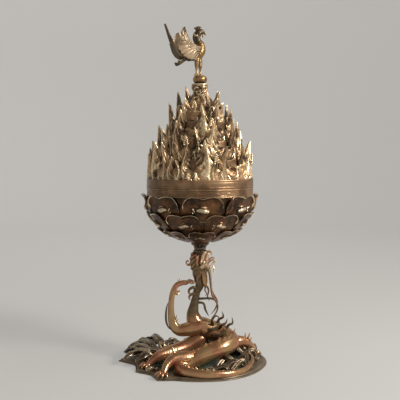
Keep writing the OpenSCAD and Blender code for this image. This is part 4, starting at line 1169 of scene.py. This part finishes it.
def tree(place, angle, high, tall):
    """A small tree: a bent stem, and leaves that close in towards the top."""
    across, out = directions(angle)
    spot = polar(place, angle, high)
    bends = ((0, 0, 1.9), (1.4, 0.4, 1.6), (-0.8, 0.75, 1.3), (0.6, 1, 0.8))
    stem = [[*(spot + x * across + z * tall * UP), r] for x, z, r in bends]
    rise = np.linspace(0.42, 1, 9)[:, None]
    reach = 4.6 * (1.15 - rise) * np.where(np.arange(9) % 2, 1.0, -1.0)[:, None]
    centre = spot + reach * across + out + rise * tall * UP
    return [tube(spline(stem, 6), 10, out), bead(centre, [2.2, 2.2, 1.6], 10, 7)]


print("an animal has", len(beast(90, 0, 0, 1, 1)), "tubes")

# %% [markdown]
# The four ranges take the same recipe with other numbers. Sines of large angles vary height, place
# and sway, which looks irregular and stays the same each time, where copies of one peak would look
# stamped. Every third peak is a great one. Side peaks and foot hills fill in. Animals stand at every
# fourth place, and so do trees. The summit range is low in front, so that the rock above it shows.

# %% Four ranges
PEAK_H, SIDE_SHARE = 62.0, 0.62


def low_in_front(k, turn):
    """The share of their height that the peaks of range k keep at an angle round the axis."""
    sunk = 0.42 * smooth(0.3, 0.95, -np.sin(turn + math.radians(12)))
    return 1 - (sunk if k == RANGES[-1] else 0.0)


def mountain_range(k, name, node):
    """One range on ledge k: terrace, peaks, side peaks to their left or right by turns, foot hills,
    animals and trees."""
    n, base, out = PEAKS[k], LEDGE_Z[k], ledge_r(k)
    i = np.arange(n)
    pitch = TURN * out / n
    size = 1 + 0.12 * np.sin(np.radians(137.5 * i + 71 * k))
    shift = 0.22 * np.sin(np.radians(197 * i + 53 * k))
    odd = np.where(i % 2, 1.0, -1.0)
    made = Casting().add(terrace(k), True)

    place = TURN * (i + 0.5 + shift) / n
    great = (i + 2 * (k == 0)) % 3 == 1
    width = 0.6 * pitch * np.where(great, 1.55, 0.85)
    tall = PEAK_H * size * low_in_front(k, place)
    front, back, worn_and_painted_light = peaks(out + 0.5, place, base, width, tall, -odd * (1.0 + 0.09 * pitch))
    made.leaf(front, back, worn_and_painted_light + 0.25 * great[:, None, None])

    place = TURN * (i + np.where(i % 2, 5 / 6, 1 / 6) + shift / 3) / n
    tall = PEAK_H * SIDE_SHARE * size * low_in_front(k, place)
    made.leaf(*peaks(out + 0.8, place, base, 0.42 * pitch, tall, odd * (1.0 + 0.1 * pitch), crest=7.5,
                     spurs=1.8, fold=1.5, lean=2.6, rows=28, cols=31))

    j = np.arange(2 * n)
    place = TURN * (j + 0.3 + 0.25 * np.sin(1.9 * j)) / (2 * n)
    tall = 12 + 4 * np.sin(2.7 * j + k)
    made.leaf(*peaks(out + 1.0, place, base, 0.3 * pitch, tall, 1.6 * np.sin(2.3 * j + k), crest=5.0,
                     spurs=1.4, slope=1.6, fold=1.0, lean=2.4, power=0.5, thick=2.0, rows=16, cols=23))

    parts = []
    for spot in range(1 + k % 2, n, 4):
        angle = TURN * (spot + 0.02 + 0.05 * math.sin(3 * spot)) / n
        high = base + 17 + 3 * math.sin(2.2 * spot)
        parts += beast(out - 2.2, angle, high, 1.25 - 0.1 * k, 1 if spot % 2 else -1)
    for spot in range(k % 2, n, 4):
        parts += tree(out - 3.0, TURN * (spot + 0.1 * math.sin(5 * spot)) / n, base + 17, 27 - 3 * k)
    for part in parts:
        made.add(part, True)
    return made.cast(name, "lid", "bronze", LID_GOLD, node)


mountain_range(0, "mountains_foothill", "foothill_range")
mountain_range(1, "mountains_middle", "middle_range")
mountain_range(2, "mountains_upper", "upper_range")
mountain_range(3, "mountains_summit", "summit_range")

# %% [markdown]
# ## The finial
# A waisted rock stands on the crown. It is lumpy, folds run up it, three cloud scrolls lie round it,
# and two rings of thin peaks surround its foot. On it sits a bright bead, the bird's perch. The rock
# could be a heap of lumps, but one turned surface has no gaps between them. So both are turned, the
# rock with a relief and the bead without.

# %% Rock pillar and bead
ROCK_TOP, WAIST_R, WAIST_H, CLOUD_Z, ROCK_PEAKS = 514.0, 13.0, 25.9, 497.0, 9
PIN_R, PIN_LONG = 4.0, 14.0
BEAD_R, BEAD_CORE = 7.5, 5.5


def pin(top):
    """Outline points of the tenon below a piece."""
    return [[0, top - PIN_LONG], [PIN_R, top - PIN_LONG], [PIN_R, top]]


def rock_folds(angle, height):
    """Large and small lumps, a few folds that wander as they rise, and rings of cloud about three points,
    each a cosine of the distance from it."""
    spot = polar(14.0, angle, height)
    lumps = 1.4 * crinkle(spot, 18, 8) + 0.3 * crinkle(spot, 8, 9)
    fold = 0.5 * np.cos(5 * angle + 1.6 * np.sin(height / 5.5))
    ring = 0.8 * np.cos(np.hypot(3 * np.sin(1.5 * angle), (height - CLOUD_Z) / 4.5) * 3.4)
    ends = smooth(CROWN_Z + 1, CROWN_Z + 6, height) * smooth(ROCK_TOP - 3.5, ROCK_TOP - 8, height)
    return (lumps + fold + ring) * ends


swing = np.linspace(0, np.pi / 2, 14)
waist = [WAIST_R + WAIST_R * (1 - np.sin(swing)), CROWN_Z + WAIST_H * (1 - np.cos(swing))]
cap = [[15.3, ROCK_TOP - 4], [15.5, ROCK_TOP - 2.5], [15.3, ROCK_TOP - 1], [13, ROCK_TOP], [0, ROCK_TOP]]
rock_outline = spaced(pin(CROWN_Z) + np.transpose(waist).tolist() + cap, 0.7)
rock = Casting().add(lathe(rock_outline, 160, rock_folds), True, 0.15)
i = np.arange(ROCK_PEAKS)
rock.leaf(*peaks(25.5, TURN * (i + 0.3 * np.sin(2 * i)) / ROCK_PEAKS, CROWN_Z, 6.0, 13 + 4 * np.sin(1.7 * i),
                 1.2 * np.sin(i), crest=2.6, spurs=2.2, fold=0.6, lean=7, cols=21, rows=20, thick=1.8))
rock.leaf(*peaks(19.5, TURN * (i + 0.5) / ROCK_PEAKS, CROWN_Z + 2, 3.6, 12 + 3 * np.sin(2.3 * i),
                 0.8 * np.sin(i + 1), crest=1.8, spurs=2.2, fold=0.4, lean=3.5, cols=15, rows=18, thick=1.6))
rock.cast("rock_waisted", "lid", "bronze", LID_GOLD, "rock_pillar")

ball = half_round(ROCK_TOP + BEAD_R, BEAD_CORE, BEAD_R, 36) + [[0, ROCK_TOP + 2 * BEAD_R]]
knob = Casting().add(lathe(spaced(pin(ROCK_TOP) + ball, 0.6), 96), True, 0.06)
knob.cast("finial_knob", "lid", "gilt_bronze", GILT, "finial_bead")

# %% [markdown]
# ## The bird
# The bird stands with its breast forward, its wings swept up and its tail behind them. Trunk and neck
# are one tube with overlapping feathers, which are the dragon's scales again, smaller. Single feathers
# would take many thousand faces that nobody sees at this size. Its head and the ruff on its nape are
# dark. Points are given from the perch and then turned with the bird.

# %% Bird's trunk
PERCH_Z, BIRD_TURN = ROCK_TOP + 2 * BEAD_R, math.radians(12)
TRUNK = [[-20, 0, 31, 3.6], [-13, 0, 33, 7.5], [-5, 0, 37, 10.5], [0, 0, 45, 10.4], [1, 0, 54, 7.8],
         [-3, 0, 61, 5.8], [-5, 0, 68, 5.4], [-3, 0, 75, 6.4], [2, 0, 78, 5.4], [7, 0, 76, 2.8],
         [10.5, 0, 72, 0.5]]
RUFF = [[-6, 0, 78, 2.6], [-9.5, 0, 72, 3.6], [-9.5, 0, 64, 3.8], [-6.5, 0, 56, 2.8], [-4, 0, 50, 0.6]]
WATTLE = [[5, 1.6, 73.5, 1.3], [5.8, 2.0, 70.5, 1.8], [5.0, 1.8, 67.5, 0.5]]
EAR_LOCK = [[-6, 4.0, 72, 1.6], [-9, 4.6, 70, 1.6], [-11.5, 4.2, 72, 1.2], [-10.5, 4.0, 74, 0.4]]


def on_bird(points):
    """Points given from the perch, turned with the bird. Extra columns stay."""
    p = np.asarray(points, float)
    x = p[..., 0] * math.cos(BIRD_TURN) - p[..., 1] * math.sin(BIRD_TURN)
    y = p[..., 0] * math.sin(BIRD_TURN) + p[..., 1] * math.cos(BIRD_TURN)
    return np.concatenate([np.stack([x, y, p[..., 2] + PERCH_Z], -1), p[..., 3:]], -1)


def feathers(run, angle, out, radius):
    """Scales that run towards the tail, where the trunk is thick."""
    return -scaled(4.6, 12, 0.3)(run.max() - run, angle, out, radius) * smooth(3.2, 5.0, radius)


trunk_tube = tube(spaced(spline(on_bird(TRUNK), 14), 0.5), 48, (0, 1, 0), feathers)
dark_head = -0.9 * smooth(PERCH_Z + 55, PERCH_Z + 64, trunk_tube[..., 2])
trunk = Casting().add(trunk_tube, True, dark_head)
trunk.add(strand(on_bird(RUFF), 22, 9, depth=0.3), True, -0.85)
for side in (-1, 1):
    trunk.add(bead(on_bird([[2.4, 4.6 * side, 79.0]]), [1.3, 1.3, 1.3], 12, 8), True, 0.4)
    trunk.add(strand(on_bird(mirrored(WATTLE, side)), 10, 5), True, 0.2)
    trunk.add(strand(on_bird(mirrored(EAR_LOCK, side)), 10, 6), True)
trunk.cast("bird_trunk", "lid", "gilt_bronze", GILT, "bird_body")

# %% [markdown]
# Four short dark plumes make the crest, and they curl forward. A leg is a tube with feathers where it
# is thick. Its toes grip the bead, three in front and one behind. Plumes and toes could be cones, but a
# strand can bend and swell on its way.

# %% Crest and legs
TOE_TURNS = (-26, 4, 34, 184)


def thigh_feathers(run, angle, out, radius):
    """Scales that run down the leg, where it is thick."""
    return scaled(3.6, 7, 0.35)(run.max() - run, angle, out, radius) * smooth(2.4, 3.2, radius)


crest = Casting()
for i in (-1, 0, 1, 2):
    tall = 9 - 1.4 * abs(i)
    plume = [[-2 - 1.8 * i, 0.6 * i, 79.4, 2.4], [-3.0 - 2.4 * i, 0.7 * i, 82.6 + 0.1 * tall, 2.6],
             [-3.8 - 2.9 * i, 0.8 * i, 80.5 + 0.6 * tall, 2.3],
             [-2.4 - 3.2 * i, 0.8 * i, 80 + 0.85 * tall, 1.6],
             [-0.8 - 2.8 * i, 0.8 * i, 79.4 + 0.7 * tall, 0.5]]
    crest.add(strand(on_bird(plume), 12, 6, flat=0.6), True, -0.8)
crest.cast("bird_crest_plumes", "lid", "gilt_bronze", GILT, "bird_crest")

legs = Casting()
for side in (-1, 1):
    x, y = -3 + 4.3 * side, 4.2 * side
    shin = on_bird([[x, y, -0.8, 2.0], [x, y, 9, 2.0], [x, 4.4 * side, 14, 2.9],
                    [x - 0.4 * side, 4.8 * side, 22, 4.2], [x - 1.5 * side, 5.0 * side, 31, 4.8]])
    legs.add(tube(spaced(spline(shin, 12), 0.5), 26, (0, 1, 0), thigh_feathers), True)
    for bend in np.radians(TOE_TURNS):
        ahead, aside = math.cos(bend), side * math.sin(bend)
        toe = [[x, y, 1.0, 1.8], [x + 2.6 * ahead, y + 2.6 * aside, 0.6, 1.6],
               [x + 5 * ahead, y + 5 * aside, -1.4, 0.5]]
        legs.add(strand(on_bird(toe), 10, 6), True)
legs.cast("bird_shanks", "lid", "gilt_bronze", GILT, "bird_legs")

# %% [markdown]
# A wing is a blade between a leading and a trailing line. Feathers lie on it like roof tiles: near the
# leading line small coverts, behind them long quills that fan out and end in a scalloped edge. Each
# could be a blade of its own, but on a cast wing they are a relief, and so they are here.

# %% Wings
LEAD = spline([[-1, 0, 50], [-9, 5, 51], [-19, 12, 56], [-28, 18, 66], [-34, 21, 81]], 30)
TRAIL = spline([[-9, 0, 27], [-23, 6, 28], [-38, 14, 36], [-46, 20, 54], [-38, 23, 79]], 30)
QUILLS, COVERT_ROWS, COVERTS, WING_Y = 9, 14, 13, 10.4


def wing(side, name, node):
    """Between the lines c runs from 0 behind to 1 in front and s from shoulder to tip. Quills are a
    sawtooth of s plus a part of c, coverts are rows of small scales, and the edge bulges at each quill."""
    s = np.linspace(0, 1, len(LEAD))[:, None]
    c = np.linspace(0, 1, 65)[None, :]
    scallop = (np.abs(np.sin(np.pi * (s * QUILLS))) - 0.4) * np.sin(np.pi * np.clip(s, 0.05, 0.95))
    spot = TRAIL[:, None] + (LEAD - TRAIL)[:, None] * (c - 0.07 * (1 - c)**3 * scallop)[..., None]
    quill = (s * QUILLS + 2.0 * c) % 1
    tooth = smooth(0, 0.8, quill) - smooth(0.86, 1, quill)
    shaft = 0.3 * smooth(0.14, 0.03, np.abs(quill - 0.5))
    barb = 0.1 * np.cos(TURN * (quill * 6 + 18 * c))
    row = np.floor(c * COVERT_ROWS)
    tile = np.abs((s * COVERTS + 0.5 * (row % 2)) % 1 - 0.5) * 2
    down = ((1 - c) * COVERT_ROWS - 0.5 * tile**2) % 1
    covert = smooth(0, 0.8, down) - smooth(0.85, 1, down)
    relief = np.where(c > 0.62, 0.5 * covert, 0.8 * tooth + shaft + barb) + 0.9 * smooth(0.58, 0.64, c)
    under = WING_Y + spot[..., 1] + 4 * np.sin(np.pi * c) * np.sin(np.pi * s)
    back, front = (on_bird(np.stack([spot[..., 0], side * reach, spot[..., 2]], -1))
                   for reach in (under - 0.5, under + 2.0 * (1 - 0.5 * s) + relief))
    if side > 0:
        front, back = front[:, ::-1], back[:, ::-1]
    return Casting().leaf(front, back).cast(name, "lid", "gilt_bronze", FEATHER_TAN, node)


wing(-1, "wing_near", "bird_near_wing")
wing(1, "wing_far", "bird_far_wing")

# %% [markdown]
# Five tail plumes fan out behind the wings, the middle one highest. Each is a thin leaf on a curve,
# with a shaft along its middle, barbs aslant and a wavy edge. Unlike the quills they stand apart, so one
# surface for all of them wouldn't do. Across a plume w runs from -1 to 1, and t is how far the plume is
# from the middle one.

# %% Tail
PLUME_HALF, PLUME_ROWS = 4.2, 70
plumes = Casting()
w = np.linspace(-1, 1, 21)[None, :]
edge = np.abs(w)
for i in (-2, -1, 0, 1, 2):
    t = abs(i)
    line = spline([[-20.4, 1.8 * i, 31], [-33 + 2 * t, 4 * i, 32 - 3 * t],
                   [-46 + 5 * t, 6 * i, 44 - 11.5 * t], [-57 + 8 * t, 7.5 * i, 67 - 24 * t],
                   [-65 + 11 * t, 8.5 * i, 90 - 33 * t]], 20)
    line = spaced(line, run_along(line)[-1] / (PLUME_ROWS - 0.5))
    up = unit(np.cross(unit(np.gradient(line, axis=0)), [0, 1.0, 0]))[:, None]
    share = np.linspace(0, 1, len(line))[:, None]
    wavy = 1 + 0.1 * np.cos(TURN * 13 * share) * smooth(0.25, 0.4, share)
    half = PLUME_HALF * (0.26 + 0.74 * np.sin(np.pi * np.clip(share, 0, 0.97))**1.5) * wavy
    middle = line[:, None] + (half * w)[..., None] * (np.array([0, 0.8, 0]) + 0.6 * up)
    barb = 0.3 * np.cos(TURN * (20 * share - 3.0 * edge)) + 0.8 * smooth(0.2, 0.05, edge) - 1.2 * edge**2
    skin = 0.9 - 0.4 * share
    front = on_bird(middle + up * (skin + barb)[..., None])
    back = on_bird(middle - up * (skin + 0.8 * edge**2 + 0.4)[..., None])
    # The plumes are darkened as painted shade behind the wings.
    plumes.leaf(front[:, ::-1], back[:, ::-1], -0.65)
plumes.cast("tail_plumes", "lid", "gilt_bronze", FEATHER_TAN, "bird_tail")

# %% [markdown]
# ## Rivets and pins
# The two rivets and the wedge hold the castings together. They could be made anew like the rest, but
# they are plain, and the model has them exactly. So they keep its solids and only take a dark finish.

# %% Rivets
for name in ("stem_rivet", "collar_rivet", "finial_wedge"):
    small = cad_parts[name]
    small.data.materials.clear()
    small.data.materials.append(SOOT)
print("rivets finished")

# %% [markdown]
# ## Light and camera
# Polished metal shows whatever stands round it, so the studio is a plain pale dish: a round floor that
# curves up into a wall on every side. It could be a flat floor and a grey sky, but then the edge of the
# floor would show as a dark line in the bowl's band. A soft lamp stands at the right in front, a broad
# light falls from above at the right, and a third lamp lifts the wall behind the censer.

# %% Studio
FLOOR_R, BEND_R, WALL_TOP, FLOOR_Z = 2400.0, 1000.0, 3200.0, -0.3


def paper(name, colour, glow):
    """Plain paper. A share of what the camera and the metal see of it is the bare colour, so that it is
    pale on every side, and the rest takes light and shadow."""
    finish, tree = new_tree(name)
    path = tree.nodes.new("ShaderNodeLightPath").outputs
    rays = [Wire(tree, path[f"Is {kind} Ray"]) for kind in ("Camera", "Glossy", "Transmission")]
    seen = rays[0] + rays[1] + rays[2]
    lit = seen.node("ShaderNodeBsdfDiffuse", None, {"Color": colour})
    bare = seen.node("ShaderNodeEmission", None, {"Color": colour, "Strength": 1.0})
    surface = seen.node("ShaderNodeMixShader", None, {0: seen * glow, 1: lit, 2: bare})
    surface.node("ShaderNodeOutputMaterial", None, {"Surface": surface})
    return finish


swing = np.linspace(0, np.pi / 2, 16)
bend = np.column_stack([FLOOR_R + BEND_R * np.sin(swing), BEND_R * (1 - np.cos(swing))])
outline = np.vstack([[[0, 0], [300, 0]], bend, [[FLOOR_R + BEND_R, WALL_TOP]]])
dish = Casting().add(lathe(outline + (0, FLOOR_Z), 120), True)
mesh = bpy.data.meshes.new("studio_dish")
mesh.from_pydata((dish.points[0] * MM).tolist(), [], dish.faces[0].tolist())
mesh.shade_smooth()
mesh.materials.append(paper("studio_paper", tone(208, 206, 202), 0.5))
studio = bpy.data.objects.new("studio_dish", mesh)
bpy.context.scene.collection.objects.link(studio)

world = bpy.data.worlds.new("room")
bpy.context.scene.world = world
world.use_nodes = True
world.node_tree.nodes["Background"].inputs["Color"].default_value = tone(96, 95, 94)
print("studio:", len(mesh.polygons), "faces")

# %% [markdown]
# The camera stands where the photograph was taken from: in front, a little above the bowl, and it
# looks slightly down. Its distance decides how much near parts swell, and its lens only how much fits
# into the picture.

# %% Lamps and camera
def lamp(name, place, target, size, power, colour, kind="AREA"):
    """A round soft lamp, or a sun whose size is the angle over which its light spreads."""
    light = bpy.data.lights.new(name, kind)
    light.energy, light.color = power, colour
    if kind == "SUN":
        light.angle = size
    else:
        light.shape, light.size = "DISK", size
    holder = bpy.data.objects.new(name, light)
    bpy.context.scene.collection.objects.link(holder)
    holder.location = place
    x, y, z = np.subtract(target, place)
    holder.rotation_euler = (math.atan2(math.hypot(x, y), -z), 0, math.atan2(y, x) - math.pi / 2)


lamp("key", (1.4, -0.8, 1.1), (0, 0, 0.3), 0.5, 32, (1.0, 0.96, 0.9))
lamp("sky", (2.1, -0.5, 1.9), (0, 0, 0), math.radians(45), 1.0, (1.0, 0.98, 0.95), "SUN")
lamp("wall", (0, 1.2, 2.4), (0, 3.4, 0.6), 1.2, 14, (1.0, 0.99, 0.98))

eye = bpy.data.cameras.new("camera")
eye.lens, eye.sensor_width = 64.95, 36
camera = bpy.data.objects.new("camera", eye)
bpy.context.scene.collection.objects.link(camera)
camera.location = (0, -1.324, 0.392)
camera.rotation_euler = (math.radians(86.11), 0, 0)
bpy.context.scene.camera = camera
bpy.context.scene.view_settings.view_transform = "Standard"
print("lamps:", len(bpy.data.lights))
